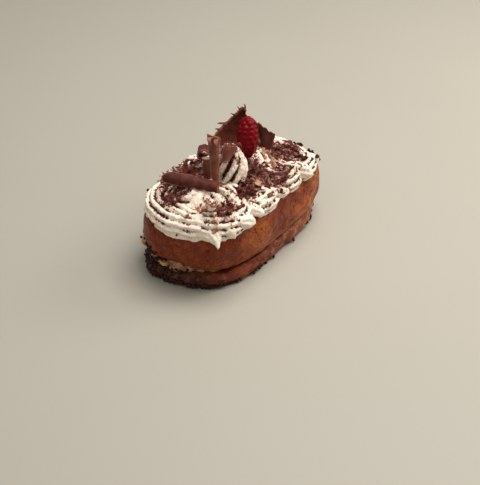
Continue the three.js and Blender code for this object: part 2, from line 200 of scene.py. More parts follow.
# Where shavings have gathered: the middle of each drift, how far it spreads, all in millimetres, and how
# thick it lies.
SHAVING_DRIFTS = [
    (-20, 24, 8, 1.0), (-33, 23, 6, 0.9), (-23, 10, 7, 1.0), (-5, -21, 6.5, 1.5), (2, -15, 5.5, 1.4),
    (3, -26, 4, 1.0), (-18, -24, 5, 1.2), (30, -12, 6, 1.1), (31, 5, 10, 1.0), (36, -25, 6, 0.7),
    (43, -17, 5, 0.8), (17, -28, 6, 0.9), (6, -33, 5, 0.6), (8, 20, 9, 0.9), (-37, -21, 6, 1.1),
    (-45, -26, 4, 0.7), (-52, 9, 5, 0.9), (-40, 9, 6, 0.8), (-48, -12, 5, 0.35), (-46, 22, 5, 0.5),
]


# ---------------------------------------------------------------- settings that a user changes


def length_property(name, description, default):
    return FloatProperty(
        name=name, description=description, default=default, min=0, unit="LENGTH", precision=5
    )


def amount_property(name, description, default):
    return FloatProperty(name=name, description=description, default=default, min=0)


def count_property(name, description, default):
    return IntProperty(name=name, description=description, default=default, min=0)


def colour_property(name, description, default):
    return FloatVectorProperty(
        name=name, description=description, default=default, size=3, min=0, max=1, subtype="COLOR"
    )


class DoughSettings(bpy.types.PropertyGroup):
    unevenness: length_property("Unevenness", "Height of the dough's broad bumps", mm(1.9))
    crust: colour_property("Crust", "Colour of the golden crust", srgb(190, 93, 24))
    browned: colour_property("Browned", "Colour of the crust where it fried longest", srgb(114, 37, 10))
    under_crust: colour_property("Under crust", "Colour of the under half's crust", srgb(158, 82, 42))
    crumb: colour_property("Crumb", "Pale colour beside the split", srgb(206, 156, 70))
    under_crumb: colour_property("Under crumb", "Pale colour of the under half's side", srgb(204, 148, 116))
    custard: colour_property("Custard", "Colour of the filling", srgb(214, 172, 112))


class CreamSettings(bpy.types.PropertyGroup):
    ridges: IntProperty(name="Ridges", description="Teeth of the piping nozzle", default=12, min=4, max=24)
    ridge_depth: amount_property("Ridge depth", "Depth of the rope's grooves as a share of its radius", 0.27)
    roughness_height: length_property("Roughness", "Height of the cream's fine bumps", mm(0.55))
    cream: colour_property("Cream", "Colour of the whipped cream", srgb(246, 231, 212))
    cocoa: colour_property("Cocoa", "Colour of the cocoa dust in the grooves", srgb(92, 32, 20))


class BerrySettings(bpy.types.PropertyGroup):
    flesh: colour_property("Flesh", "Colour of the raspberry", srgb(116, 2, 11))
    shade: colour_property("Shade", "Colour between the drupelets", srgb(64, 0, 4))


class ChocolateSettings(bpy.types.PropertyGroup):
    thickness: length_property("Thickness", "Thickness of the large curls", SHEET_THICKNESS)
    dark: colour_property("Dark", "Colour of the dark chocolate", srgb(65, 24, 16))
    bloom: colour_property("Bloom", "Colour of its scraped surface and edges", srgb(114, 60, 46))
    # Painted light: a lit copy of the dark chocolate, for three of the standing curls.
    lit: colour_property("Lit", "Colour of the lighter curls' chocolate", srgb(98, 50, 37))
    grated: colour_property("Grated", "Colour of the shavings and crumbs", srgb(80, 29, 19))
    milk: colour_property("Milk", "Colour of the milk chocolate flakes", srgb(158, 108, 80))
    shavings: count_property("Shavings", "Number of dark shavings", 4300)
    crumbs: count_property("Crumbs", "Number of chocolate crumbs", 4500)
    vermicelli: count_property("Vermicelli", "Number stuck to the dough", 420)


class StageSettings(bpy.types.PropertyGroup):
    floor: colour_property("Floor", "Colour of the floor", srgb(170, 164, 151))
    key_power: amount_property("Key light", "Power of the main light, in watts", 7.8)
    fill_power: amount_property("Fill light", "Power of the side light, in watts", 3.4)
    front_power: amount_property("Front light", "Power of the front light, in watts", 1.3)
    air: amount_property("Room light", "Strength of the light all round", 0.3)


SETTINGS = {
    "dough": DoughSettings,
    "cream": CreamSettings,
    "berry": BerrySettings,
    "chocolate": ChocolateSettings,
    "stage": StageSettings,
}


def settings(group):
    """The scene's settings of one group, such as the dough's."""
    return getattr(bpy.context.scene, "pastry_" + group)


# ---------------------------------------------------------------- meshes


def select_only(*objects):
    """Deselects everything, selects these objects and makes the first one active."""
    bpy.ops.object.select_all(action="DESELECT")
    for obj in objects:
        obj.select_set(True)
    bpy.context.view_layer.objects.active = objects[0]


def points_of(obj):
    """The mesh's points, a row for each."""
    points = np.empty(3 * len(obj.data.vertices), np.float32)
    obj.data.vertices.foreach_get("co", points)
    return points.reshape(-1, 3).astype(float)


def move_points(obj, points):
    obj.data.vertices.foreach_set("co", np.asarray(points, np.float32).ravel())
    obj.data.update()


def normals_of(obj):
    normals = np.empty(3 * len(obj.data.vertices), np.float32)
    obj.data.vertex_normals.foreach_get("vector", normals)
    return normals.reshape(-1, 3).astype(float)


def modify(obj, kind, **values):
    """Adds a modifier to an object and applies it."""
    select_only(obj)
    modifier = obj.modifiers.new(kind.title(), kind)
    for key, value in values.items():
        setattr(modifier, key, value)
    bpy.ops.object.modifier_apply(modifier=modifier.name)


def join(first, *others):
    select_only(first, *others)
    bpy.ops.object.join()
    return first


def recalculate_normals(obj):
    select_only(obj)
    bpy.ops.object.mode_set(mode="EDIT")
    bpy.ops.mesh.select_all(action="SELECT")
    bpy.ops.mesh.remove_doubles(threshold=mm(0.01))
    bpy.ops.mesh.normals_make_consistent(inside=False)
    bpy.ops.object.mode_set(mode="OBJECT")


def remesh(obj, voxel, smoothing=2):
    """Makes one closed skin of everything in the object and softens it a little."""
    modify(obj, "REMESH", mode="VOXEL", voxel_size=voxel, adaptivity=0)
    modify(obj, "SMOOTH", factor=0.5, iterations=smoothing)


def roughen(obj, height, size):
    """Moves the surface in and out by a cloudy noise with lumps of that size."""
    clouds = bpy.data.textures.new("Bumps", "CLOUDS")
    clouds.noise_scale = size
    clouds.noise_depth = 1
    clouds.noise_basis = "BLENDER_ORIGINAL"
    modify(obj, "DISPLACE", texture=clouds, texture_coords="LOCAL", strength=2 * height, mid_level=0.5)
    bpy.data.textures.remove(clouds)


def lumps(points, size, seed=0):
    """Smooth noise from -1 to 1 at each point, in lumps of that size."""
    shift = Vector((seed * 7.31, seed * 3.77, seed * 5.19))
    return np.array([noise.noise(Vector(point / size) + shift) for point in points])


def smooth_step(value, low, high):
    """A smooth step from 0 at low to 1 at high."""
    share = np.clip((value - low) / (high - low), 0, 1)
    return share * share * (3 - 2 * share)


def hollowness(obj, reach, rounds=14):
    """From 0 on ridges and flats to 1 where a point lies as far as reach under its smoothed surroundings."""
    points = points_of(obj)
    ends = np.empty(2 * len(obj.data.edges), np.int32)
    obj.data.edges.foreach_get("vertices", ends)
    one, other = ends.reshape(-1, 2).T
    degree = np.bincount(ends, minlength=len(points))
    smooth = points
    for _ in range(rounds):
        sums = [
            np.bincount(one, smooth[other, axis], len(points))
            + np.bincount(other, smooth[one, axis], len(points))
            for axis in range(3)
        ]
        smooth = np.stack(sums, axis=1) / degree[:, None]
    depth = np.einsum("ij,ij->i", smooth - points, normals_of(obj))
    return np.clip(depth / reach, 0, 1)


def store(obj, name, values):
    """Keeps one number for each point on the mesh, for a material to read."""
    attribute = obj.data.attributes.new(name, "FLOAT", "POINT")
    attribute.data.foreach_set("value", np.asarray(values, np.float32))


def stored(obj, name):
    values = np.empty(len(obj.data.vertices), np.float32)
    obj.data.attributes[name].data.foreach_get("value", values)
    return values


def rest_on_floor(obj):
    """Flattens what would sink into the floor."""
    points = points_of(obj)
    points[:, 2] = np.maximum(points[:, 2], 0)
    move_points(obj, points)


def finish_piece(obj, name, slot, material, *replaced):
    """Names a piece, applies its place, gives it its material, hangs it on the root and hides the parts that
    it replaces.
    """
    select_only(obj)
    bpy.ops.object.transform_apply(location=True, rotation=True, scale=True)
    bpy.ops.object.shade_smooth()
    obj.name = name
    obj.data.name = name
    obj.data.materials.clear()
    obj.data.materials.append(material)
    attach(obj, "root")
    if replaced:
        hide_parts(*replaced)
    return obj


# ---------------------------------------------------------------- shader maths


class Wire:
    """A shader node's output that takes part in Python arithmetic."""

    def __init__(self, finish, output):
        self.finish = finish
        self.output = output

    def maths(self, operation, left, right):
        return self.finish.node("ShaderNodeMath", {"operation": operation}, {0: left, 1: right})

    def __add__(self, other):
        return self.maths("ADD", self, other)

    def __radd__(self, other):
        return self.maths("ADD", other, self)

    def __sub__(self, other):
        return self.maths("SUBTRACT", self, other)

    def __rsub__(self, other):
        return self.maths("SUBTRACT", other, self)

    def __mul__(self, other):
        return self.maths("MULTIPLY", self, other)

    def __rmul__(self, other):
        return self.maths("MULTIPLY", other, self)


class Finish:
    """One material: its shader's own settings, and the nodes that vary it."""

    def __init__(self, name, **shader):
        self.material = bpy.data.materials.new(name)
        self.material.use_nodes = True
        self.tree = self.material.node_tree
        self.shader = next(n for n in self.tree.nodes if n.type == "BSDF_PRINCIPLED")
        for socket, value in shader.items():
            self.feed(socket.replace("_", " "), value)

    def feed(self, socket, value):
        """Gives a socket of the shader a value or a wire."""
        self.connect(self.shader.inputs[socket], value)

    def connect(self, socket, value):
        if isinstance(value, Wire):
            self.tree.links.new(value.output, socket)
        else:
            socket.default_value = value

    def node(self, kind, options=None, inputs=None, output=0):
        """Adds a node, sets its options, feeds its sockets and returns one of its outputs."""
        node = self.tree.nodes.new(kind)
        for option, value in (options or {}).items():
            setattr(node, option, value)
        for socket, value in (inputs or {}).items():
            self.connect(node.inputs[socket], value)
        return Wire(self, node.outputs[output])

    def place(self):
        return self.node("ShaderNodeTexCoord", output="Object")

    def stretched(self, vector, scale):
        return self.node("ShaderNodeMapping", {}, {"Vector": vector, "Scale": scale})

    def axis(self, name):
        """One coordinate of the place on the object, in metres."""
        return self.node("ShaderNodeSeparateXYZ", {}, {0: self.place()}, output=name)

    def noise(self, size, detail=3.0, roughness=0.55, vector=None):
        """Cloudy noise from 0 to 1 with lumps of that size."""
        vector = vector or self.place()
        inputs = {"Vector": vector, "Scale": 1 / size, "Detail": detail, "Roughness": roughness}
        return self.node("ShaderNodeTexNoise", {}, inputs)

    def cells(self, size):
        """Distance to the nearest of scattered points that lie about that far apart, in shares of it."""
        inputs = {"Vector": self.place(), "Scale": 1 / size}
        return self.node("ShaderNodeTexVoronoi", {}, inputs, output="Distance")

    def distance(self, point):
        """Distance to a point, in metres."""
        inputs = {0: self.place(), 1: point}
        return self.node("ShaderNodeVectorMath", {"operation": "DISTANCE"}, inputs, output="Value")

    def attribute(self, name):
        return self.node("ShaderNodeAttribute", {"attribute_name": name}, output="Fac")

    def step(self, value, low, high):
        """A smooth step from 0 at low to 1 at high; high may be under low."""
        options = {"interpolation_type": "SMOOTHSTEP"}
        if low > high:
            return 1 - self.step(value, high, low)
        return self.node("ShaderNodeMapRange", options, {"Value": value, "From Min": low, "From Max": high})

    def mix(self, factor, first, second):
        """A colour between two, each a linear colour or a wire."""
        first, second = (c if isinstance(c, Wire) else (*c, 1) for c in (first, second))
        options = {"data_type": "RGBA"}
        return self.node("ShaderNodeMix", options, {"Factor": factor, 6: first, 7: second}, output=2)

    def bump(self, height, distance, strength):
        """Normals that stand for a relief of that height on the surface."""
        inputs = {"Height": height, "Distance": distance, "Strength": strength}
        return self.node("ShaderNodeBump", {}, inputs)


# Colours that the chosen ones are shaded towards.
WARM_CRUST = srgb(182, 84, 22)
GOLDEN_CRUST = srgb(196, 116, 48)
# Painted highlight at the front-right corner of the upper dough.
CORNER_HIGHLIGHT = srgb(206, 122, 56)
GRAIN_OF_CRUST = srgb(196, 112, 54)
# Painted shade at the under dough's front-left end.
PAINTED_FOOT_SHADE = srgb(46, 17, 11)
PORES = srgb(40, 14, 10)
DULL_CUSTARD = srgb(170, 112, 58)
SHADED_CUSTARD = srgb(74, 34, 20)
CUSTARD_STREAKS = srgb(88, 40, 24)
DUSTED_CREAM = srgb(222, 172, 152)
PALE_FLESH = srgb(110, 3, 14)
BERRY_BLOOM = srgb(170, 50, 56)
# Scraped bloom with a painted highlight, for the edges of the curls.
EDGE_BLOOM_AND_HIGHLIGHT = srgb(148, 96, 78)
SCRAPED_LIT = srgb(150, 96, 78)
SCRAPED_MILK = srgb(190, 148, 118)
STRAND = srgb(38, 18, 15)
STRAND_BLOOM = srgb(74, 42, 36)

# The middle of a golden painted highlight, where the light falls.
CORNER_HIGHLIGHT_AT = mm(-24, -38, 30)  # on the upper dough's right side, near its front end


def crust_finish(name, crust, browning_at, pale_band, crumb, painted_foot_shade=0.0):
    """Fried crust: golden, browned in clouds and towards the front end, with pores and fine wrinkles. Painted
    shade lies towards the front end as well, at the back end, under the cream and in the hollows between
    bumps, and painted highlights lie on the bumps and at the front-right corner. More browning_at is paler,
    the pale band lies between two heights, and the last argument paints shade over the front-left end."""
    dough = settings("dough")
    finish = Finish(name, Specular_IOR_Level=0.22, Subsurface_Weight=0.04, Subsurface_Scale=mm(1.2))
    clouds = finish.noise(mm(19), detail=4)
    mottle = finish.noise(mm(4.5), detail=4, roughness=0.65)
    fine = finish.noise(mm(1.5), detail=3, roughness=0.7)
    # Painted shade: towards the front end, which is also browned more there, at the back end, high on the
    # sides under the cream, and in the hollows between bumps, with painted light on the bumps.
    front = finish.step(finish.axis("X") + 0.35 * finish.axis("Y"), mm(34), mm(-46))
    back = finish.step(finish.axis("X"), mm(24), mm(60))
    upper = finish.step(finish.axis("Z"), mm(22), mm(42))
    shade = front * 0.4 + back * 0.12 + upper * 0.1 - finish.attribute("bulge") * 0.22
    darkness = clouds * 0.7 + mottle * 0.7 + fine * 0.5 + shade
    browning_and_shade = finish.step(darkness, browning_at + 0.17, browning_at + 0.49)
    colour = finish.mix(browning_and_shade, crust, dough.browned)
    warm = finish.step(finish.noise(mm(8), detail=2), 0.45, 0.7)
    colour = finish.mix(warm * 0.28, colour, WARM_CRUST)
    # Painted highlight: golden on the bumps, mixed with golden patches at random, less towards the front end.
    golden = finish.step(finish.attribute("bulge") * 0.5 + mottle - front * 0.3, 0.5, 0.8)
    colour = finish.mix(golden * 0.42, colour, GOLDEN_CRUST)
    # Painted highlight: golden crust at the front-right corner, where the light falls, with the grain in it.
    corner = finish.step(finish.distance(CORNER_HIGHLIGHT_AT) + (mottle - 0.5) * mm(16), mm(17), mm(6))
    grain = finish.step(finish.noise(mm(1.1), detail=3, roughness=0.75), 0.5, 0.66)
    colour = finish.mix(corner * (0.25 + 0.45 * grain), colour, CORNER_HIGHLIGHT)
    colour = finish.mix(grain * (1 - front * 0.25) * 0.4, colour, GRAIN_OF_CRUST)
    # Painted shade over the front-left end, where the under dough lies under the overhang.
    deep = finish.step(finish.axis("X") - 0.5 * finish.axis("Y"), mm(-28), mm(-56))
    colour = finish.mix(deep * painted_foot_shade, colour, PAINTED_FOOT_SHADE)
    pale = finish.step(finish.axis("Z") + mottle * mm(5), *pale_band) * finish.step(mottle, 0.42, 0.62)
    colour = finish.mix(pale * (1 - front * 0.75) * 0.6, colour, crumb)
    spots = finish.cells(mm(4.4)) + (fine - 0.5) * 0.7
    pores = finish.step(spots, 0.36, 0.16) * finish.step(finish.noise(mm(9)), 0.4, 0.56)
    pricked = finish.step(finish.noise(mm(6), detail=1), 0.5, 0.64)
    pricks = finish.step(finish.cells(mm(1.15)), 0.34, 0.16) * pricked
    dark = finish.mix(0.65, dough.browned, PORES)
    blotches = finish.step(finish.noise(mm(3.6), detail=3, roughness=0.7), 0.52, 0.68)
    colour = finish.mix(blotches * 0.35, colour, dark)
    colour = finish.mix(pores * 0.6, colour, dark)
    colour = finish.mix(pricks * 0.5, colour, dark)
    finish.feed("Base Color", colour)
    finish.feed("Roughness", 0.24 + 0.3 * mottle + 0.2 * pores)
    wrinkles = finish.noise(mm(2.2), detail=3, vector=finish.stretched(finish.place(), (0.35, 0.35, 1.6)))
    height = mottle * 0.7 + fine * 0.6 + wrinkles * 0.5 - pores * 0.7 - pricks * 0.45
    finish.feed("Normal", finish.bump(height, mm(0.7), 0.85))
    return finish.material


def custard_finish():
    """Set custard, glossy, with painted shade away from the squeezed-out lumps, deep in the split."""
    dough = settings("dough")
    finish = Finish("Custard", Subsurface_Weight=0.2, Subsurface_Scale=mm(2), Coat_Roughness=0.2)
    tint = finish.noise(mm(7), detail=3)
    colour = finish.mix(finish.step(tint, 0.4, 0.7), DULL_CUSTARD, dough.custard)
    # Painted shade deep in the split, away from the lumps.
    in_painted_shade = finish.step(finish.attribute("depth"), 0.2, 0.9)
    colour = finish.mix(in_painted_shade * 0.85, colour, SHADED_CUSTARD)
    streaks = finish.step(finish.noise(mm(4.2), detail=3, roughness=0.6), 0.5, 0.62)
    finish.feed("Base Color", finish.mix(streaks * 0.62, colour, CUSTARD_STREAKS))
    finish.feed("Roughness", 0.28 + 0.25 * tint)
    finish.feed("Coat Weight", 0.25)
    finish.feed("Normal", finish.bump(finish.noise(mm(1.4), detail=3), mm(0.4), 0.5))
    return finish.material


def cream_finish():
    """Whipped cream, with cocoa dust and painted shade in its grooves, and melted specks."""
    cream = settings("cream")
    finish = Finish(
        "Whipped_cream", Subsurface_Weight=0.35, Subsurface_Scale=mm(2.2), Specular_IOR_Level=0.4
    )
    cocoa = finish.attribute("cocoa")
    fine = finish.noise(mm(0.9), detail=4, roughness=0.7)
    patches = finish.noise(mm(3.4), detail=3, roughness=0.6)
    dust = finish.step(cocoa + (fine - 0.5) * 1.3 + (patches - 0.5) * 1.2, 0.42, 0.6)
    veil = finish.step(cocoa + (patches - 0.5) * 0.6, 0.1, 0.6)
    tint = finish.mix(veil * 0.62, cream.cream, DUSTED_CREAM)
    specks = finish.step(finish.cells(mm(1.3)), 0.2, 0.12) * finish.step(finish.noise(mm(5)), 0.5, 0.6)
    colour = finish.mix(dust * 0.94, tint, cream.cocoa)
    finish.feed("Base Color", finish.mix(specks * 0.7, colour, cream.cocoa))
    finish.feed("Roughness", 0.46 + 0.2 * fine)
    bubbles = finish.step(finish.cells(mm(0.8)), 0.05, 0.45)
    finish.feed("Normal", finish.bump(fine + bubbles * 0.4, mm(0.3), 0.6))
    return finish.material


def berry_finish():
    """Raspberry flesh: shiny, darker between its drupelets, with a pale bloom."""
    berry = settings("berry")
    finish = Finish(
        "Raspberry", Specular_IOR_Level=0.1, Subsurface_Weight=0.1, Subsurface_Scale=mm(1), Coat_Roughness=0.2
    )
    groove = finish.attribute("groove")
    clouds = finish.noise(mm(5), detail=2)
    colour = finish.mix(finish.step(clouds, 0.35, 0.7), PALE_FLESH, berry.flesh)
    colour = finish.mix(finish.step(groove, 0.1, 0.7), colour, berry.shade)
    bloom = finish.step(finish.noise(mm(1.1), detail=4, roughness=0.7), 0.52, 0.75)
    finish.feed("Base Color", finish.mix(bloom * 0.12, colour, BERRY_BLOOM))
    finish.feed("Roughness", 0.38 + 0.3 * bloom)
    finish.feed("Coat Weight", 0.02)
    finish.feed("Normal", finish.bump(finish.noise(mm(0.5), detail=2), mm(0.12), 0.4))
    return finish.material


def chocolate_finish(name, base, scraped, small=False):
    """Chocolate: satin, with a scraped bloom. On a large curl fine lines run along its own map, and its
    edges are lighter, with scraped bloom and a painted highlight. Small pieces have no map."""
    finish = Finish(name, Specular_IOR_Level=0.18)
    place = finish.place() if small else finish.node("ShaderNodeTexCoord", output="UV")
    place = finish.stretched(place, (30, 30, 30) if small else (1, 0.05, 1))
    lines = finish.noise(0.02, detail=3, vector=place)
    broad = finish.noise(mm(5), detail=3)
    bloom = finish.step(broad + 0.35 * lines, 0.45, 0.95)
    colour = finish.mix(bloom * 0.65, base, scraped)
    if not small:
        # Painted highlight, with scraped bloom, along the edges.
        edge = finish.attribute("edge")
        colour = finish.mix(finish.step(edge + (broad - 0.5) * 0.5, 0.5, 0.9), colour, EDGE_BLOOM_AND_HIGHLIGHT)
    finish.feed("Base Color", colour)
    finish.feed("Roughness", 0.36 + 0.25 * broad)
    finish.feed("Normal", finish.bump(lines + 0.4 * finish.noise(mm(0.7), detail=3), mm(0.12), 0.25))
    return finish.material


def floor_finish():
    """A pale matt floor with a barely seen mottle."""
    finish = Finish("Pale_floor")
    mottle = finish.noise(0.2, detail=4)
    colour = settings("stage").floor
    darker = tuple(0.94 * channel for channel in colour)
    finish.feed("Base Color", finish.mix(mottle, darker, colour))
    finish.feed("Roughness", 0.5 + 0.15 * mottle)
    return finish.material


# ---------------------------------------------------------------- dough and filling


def near_front(x):
    """How near the front end a place is: 0 from the middle backwards, 1 at the front end."""
    return np.maximum(0, -x / (LENGTH / 2)) ** 2


def signed_power(value, power):
    """A power that keeps the sign."""
    return np.sign(value) * np.abs(value) ** power


def outline(angle, share):
    """The pastry's outline seen from above, at an angle and a share of the way out from the centre."""
    power = 2 / (SQUARENESS + SQUARER_BACK * np.cos(angle))
    x = signed_power(np.cos(angle), power) * share * LENGTH / 2
    y = signed_power(np.sin(angle), power) * share * WIDTH / 2
    return x - FRONT_SLANT * y * near_front(x) + FRONT_SHIFT, y


def even_angle(bearing):
    """The outline's angle at a compass bearing, so that points lie evenly round the pastry."""
    x = signed_power(np.cos(bearing) / LENGTH, SQUARENESS / 2)
    y = signed_power(np.sin(bearing) / WIDTH, SQUARENESS / 2)
    return np.arctan2(y, x)


def openness(x, y):
    """How open the split is: -1 at its closed corner, at the back right, and 1 at the open one."""
    return np.clip(0.7 * (y / (WIDTH / 2) - x / (LENGTH / 2)), -1, 1)


def half_gap(x, y):
    """Half of the split's opening."""
    share = ((openness(x, y) + 1) / 2) ** GAP_GROWTH
    return HINGE_HALF_GAP + (MOUTH_HALF_GAP - HINGE_HALF_GAP) * share


def split_top(x, y):
    return SPLIT_HEIGHT + half_gap(x, y)


def split_bottom(x, y):
    return SPLIT_HEIGHT - half_gap(x, y)


def bezier(stops, count):
    """Points of a Bezier curve of any degree, without its last."""
    t = np.linspace(0, 1, count, endpoint=False)[:, None]
    points = [np.broadcast_to(stop, (count, 2)) for stop in np.array(stops, float)]
    while len(points) > 1:
        points = [a * (1 - t) + b * t for a, b in zip(points, points[1:])]
    return points[0]


def layer(profile, floor, roof, reach, segments=300):
    """A round primitive whose rings take the profile's shares of the outline and of the layer's height."""
    bpy.ops.mesh.primitive_uv_sphere_add(segments=segments, ring_count=len(profile) - 1, radius=1)
    obj = bpy.context.object
    points = points_of(obj)
    latitude = np.arcsin(np.clip(points[:, 2], -1, 1)) / math.pi + 0.5
    ring = np.rint(latitude * (len(profile) - 1)).astype(int)
    share, height = profile[ring].T
    angle = even_angle(np.arctan2(points[:, 1], points[:, 0]))
    x, y = outline(angle, share * reach(*outline(angle, share)))
    z = floor(x, y) + (roof(x, y) - floor(x, y)) * height
    move_points(obj, np.stack([x, y, z], axis=1))
    return obj


def profile(*stretches):
    """A layer's profile from its underside's middle to its top's middle: Bezier stops and how many points."""
    curves = [bezier(stops, count) for stops, count in stretches]
    return np.concatenate([*curves, [(0, 1)]])


UPPER_PROFILE = profile(
    ([(0, 0), (0.9, 0)], 16),
    ([(0.9, 0), (0.985, 0.01), (1.003, 0.2), (1.0, 0.42)], 34),
    ([(1.0, 0.42), (0.998, 0.7), (0.975, 0.86), (0.9, 0.92)], 30),
    ([(0.9, 0.92), (0.6, 1), (0, 1)], 20),
)
UNDER_PROFILE = profile(
    ([(0, 0), (0.86, 0)], 16),
    ([(0.86, 0), (0.955, 0.0), (0.99, 0.3), (0.99, 0.62)], 26),
    ([(0.99, 0.62), (0.985, 0.98), (0.93, 1)], 16),
    ([(0.93, 1), (0, 1)], 16),
)
FILLING_PROFILE = profile(
    ([(0, 0), (0.94, 0)], 16),
    ([(0.94, 0), (1, 0.1), (1, 0.5)], 12),
    ([(1, 0.5), (1, 0.9), (0.94, 1)], 12),
    ([(0.94, 1), (0, 1)], 16),
)


def wrinkle(obj, height, band, seed):
    """Creases that run along the dough between two heights."""
    points = points_of(obj)
    low, high = band
    inside = np.clip((points[:, 2] - low) / (high - low), 0, 1)
    share = np.sin(math.pi * inside)
    creases = lumps(points * (0.4, 0.4, 2.2), mm(5), seed)
    depth = height * share * np.abs(creases) ** 0.7
    move_points(obj, points - normals_of(obj) * depth[:, None])


def bulge(obj, size):
    """Broad bumps, kept on the mesh as well, for painted highlights on them and painted shade in the hollows.
    """
    flat = points_of(obj)
    outwards = normals_of(obj)
    height = settings("dough").unevenness
    roughen(obj, height, size)
    moved = np.einsum("ij,ij->i", points_of(obj) - flat, outwards)
    store(obj, "bulge", np.clip(moved / height, -1, 1))


def make_top_dough():
    obj = layer(UPPER_PROFILE, split_top, lambda x, y: np.full_like(x, DOUGH_TOP), lambda x, y: 1)
    bulge(obj, mm(18))
    roughen(obj, mm(0.5), mm(6.5))
    roughen(obj, mm(0.16), mm(2.4))
    wrinkle(obj, mm(0.8), (mm(12), mm(27)), seed=1)
    dough = settings("dough")
    finish = crust_finish("Upper_crust", dough.crust, 0.74, (mm(25), mm(16)), dough.crumb)
    finish_piece(obj, "upper_dough", "crust", finish, "top_dough")


def make_base_dough():
    obj = layer(UNDER_PROFILE, lambda x, y: x * 0, split_bottom, lambda x, y: 0.975 + 0.025 * openness(x, y))
    bulge(obj, mm(12))
    roughen(obj, mm(0.45), mm(4))
    wrinkle(obj, mm(1.1), (mm(1), mm(12)), seed=2)
    rest_on_floor(obj)
    dough = settings("dough")
    # 0.85 is the painted shade over its front-left end.
    finish = crust_finish("Under_crust", dough.under_crust, 0.6, (mm(3), mm(9)), dough.under_crumb, 0.85)
    finish_piece(obj, "under_dough", "under_crust", finish, "base_dough")


CUSTARD_OVERLAP = mm(0.3)  # of the filling into the doughs
# Custard that has been squeezed out of the split: where each lump lies and its half sizes.
CUSTARD_LUMPS = [
    (mm(-60.8, 14.5, 14), mm(3.2, 4.4, 3.8)),
    (mm(-61.2, 8, 11.5), mm(2.6, 3.4, 2.4)),
    (mm(-59.5, 0, 10.8), mm(3.8, 5, 3)),
    (mm(-56.5, -5, 9.8), mm(3, 4.4, 2)),
    (mm(-51.5, -12, 10), mm(3, 5, 1.3)),
    (mm(-47, -19, 10.4), mm(2.6, 4.4, 1)),
    (mm(-50.5, 30.5, 13.5), mm(5, 4.4, 4)),
    (mm(-37, 34.5, 13.2), mm(10, 3.2, 4)),
    (mm(-16, 35.4, 13.4), mm(13, 2.8, 3.8)),
    (mm(9, 35.8, 13), mm(14, 2.4, 3.2)),
    (mm(33, 34.6, 13), mm(13, 2.4, 2.8)),
    (mm(51, 29, 13), mm(6, 4, 2)),
]


def custard_reach(x, y):
    """How far out the filling lies: farther where the split is open, and on the left."""
    return 0.87 + 0.055 * openness(x, y) + 0.03 * smooth_step(y, mm(14), mm(26))


def make_custard():
    obj = layer(
        FILLING_PROFILE,
        lambda x, y: split_bottom(x, y) - CUSTARD_OVERLAP,
        lambda x, y: split_top(x, y) + CUSTARD_OVERLAP,
        custard_reach,
        segments=160,
    )
    blobs = []
    for at, half in CUSTARD_LUMPS:
        bpy.ops.mesh.primitive_ico_sphere_add(subdivisions=3, radius=1, location=at, scale=half)
        blobs.append(bpy.context.object)
    select_only(*blobs)
    bpy.ops.object.transform_apply(location=True, rotation=True, scale=True)
    join(obj, *blobs)
    remesh(obj, mm(0.7), smoothing=4)
    roughen(obj, mm(0.9), mm(5))
    roughen(obj, mm(0.3), mm(1.8))
    points = points_of(obj)
    away = [np.linalg.norm((points - at) / (half + mm(1.6)), axis=1) for at, half in CUSTARD_LUMPS]
    # How far from the lumps, for the painted shade deep in the split.
    store(obj, "depth", smooth_step(np.min(away, axis=0), 1, 1.5))
    finish_piece(obj, "custard", "custard", custard_finish(), "custard_filling")


# ---------------------------------------------------------------- piped cream


def star(angle, ridges, depth):
    """The nozzle's outline: round ridges with sharp grooves between them."""
    return 1 - depth * (1 - np.abs(np.cos(angle * ridges / 2)) ** 0.8)


def rope_route(loop, steps, drawn_tail):
    """The middle of a loop's rope and its radius, clockwise seen from above: once round the outside, then
    inwards and up to the middle."""
    turned = np.linspace(0, loop.turns, steps + 1)
    angle = loop.start - turned * 2 * math.pi
    inward = smooth_step(turned, 0.8, 1.9)
    tail = 1 - smooth_step(turned, 0, TAIL_LENGTH) if drawn_tail else turned * 0
    end = smooth_step(turned, loop.turns - 0.25, loop.turns)
    size = (1 - 0.7 * inward) * (1 + TAIL_OUTWARD * tail)
    power = 2 / (loop.squareness + (2 - loop.squareness) * inward)
    x = loop.at[0] + signed_power(np.cos(angle), power) * (loop.half[0] - loop.radius) * size
    y = loop.at[1] + signed_power(np.sin(angle), power) * (loop.half[1] - loop.radius) * size
    sag = CREAM_SAG * near_front(x) * (1 + y / WIDTH)
    z = loop.height - sag - TAIL_DROP * tail + INNER_RISE * inward + END_RISE * end
    middle = np.stack([x - CREAM_SLANT * y * near_front(x), y, z], axis=1)
    return middle, loop.radius * (1 - 0.7 * tail) * (1 - 0.2 * inward) * (1 - 0.35 * end)


def evenly(middle, radius, spacing):
    """The route again, with its points evenly spaced."""
    lengths = np.linalg.norm(np.diff(middle, axis=0), axis=1)
    along = np.concatenate([[0], np.cumsum(lengths)])
    stops = np.linspace(0, along[-1], max(4, int(along[-1] / spacing)))
    places = np.stack([np.interp(stops, along, middle[:, axis]) for axis in range(3)], axis=1)
    return places, np.interp(stops, along, radius)


def nozzle(ridges, depth, points_per_ridge=8):
    """The nozzle's outline as a closed curve, for a rope to be swept with."""
    data = bpy.data.curves.new("Nozzle", "CURVE")
    data.dimensions = "2D"
    spline = data.splines.new("POLY")
    count = ridges * points_per_ridge
    spline.points.add(count - 1)
    for i, point in enumerate(spline.points):
        angle = 2 * math.pi * i / count
        reach = star(angle, ridges, depth)
        point.co = (reach * math.cos(angle), reach * math.sin(angle), 0, 1)
    spline.use_cyclic_u = True
    obj = bpy.data.objects.new("Nozzle", data)
    bpy.context.collection.objects.link(obj)
    return obj


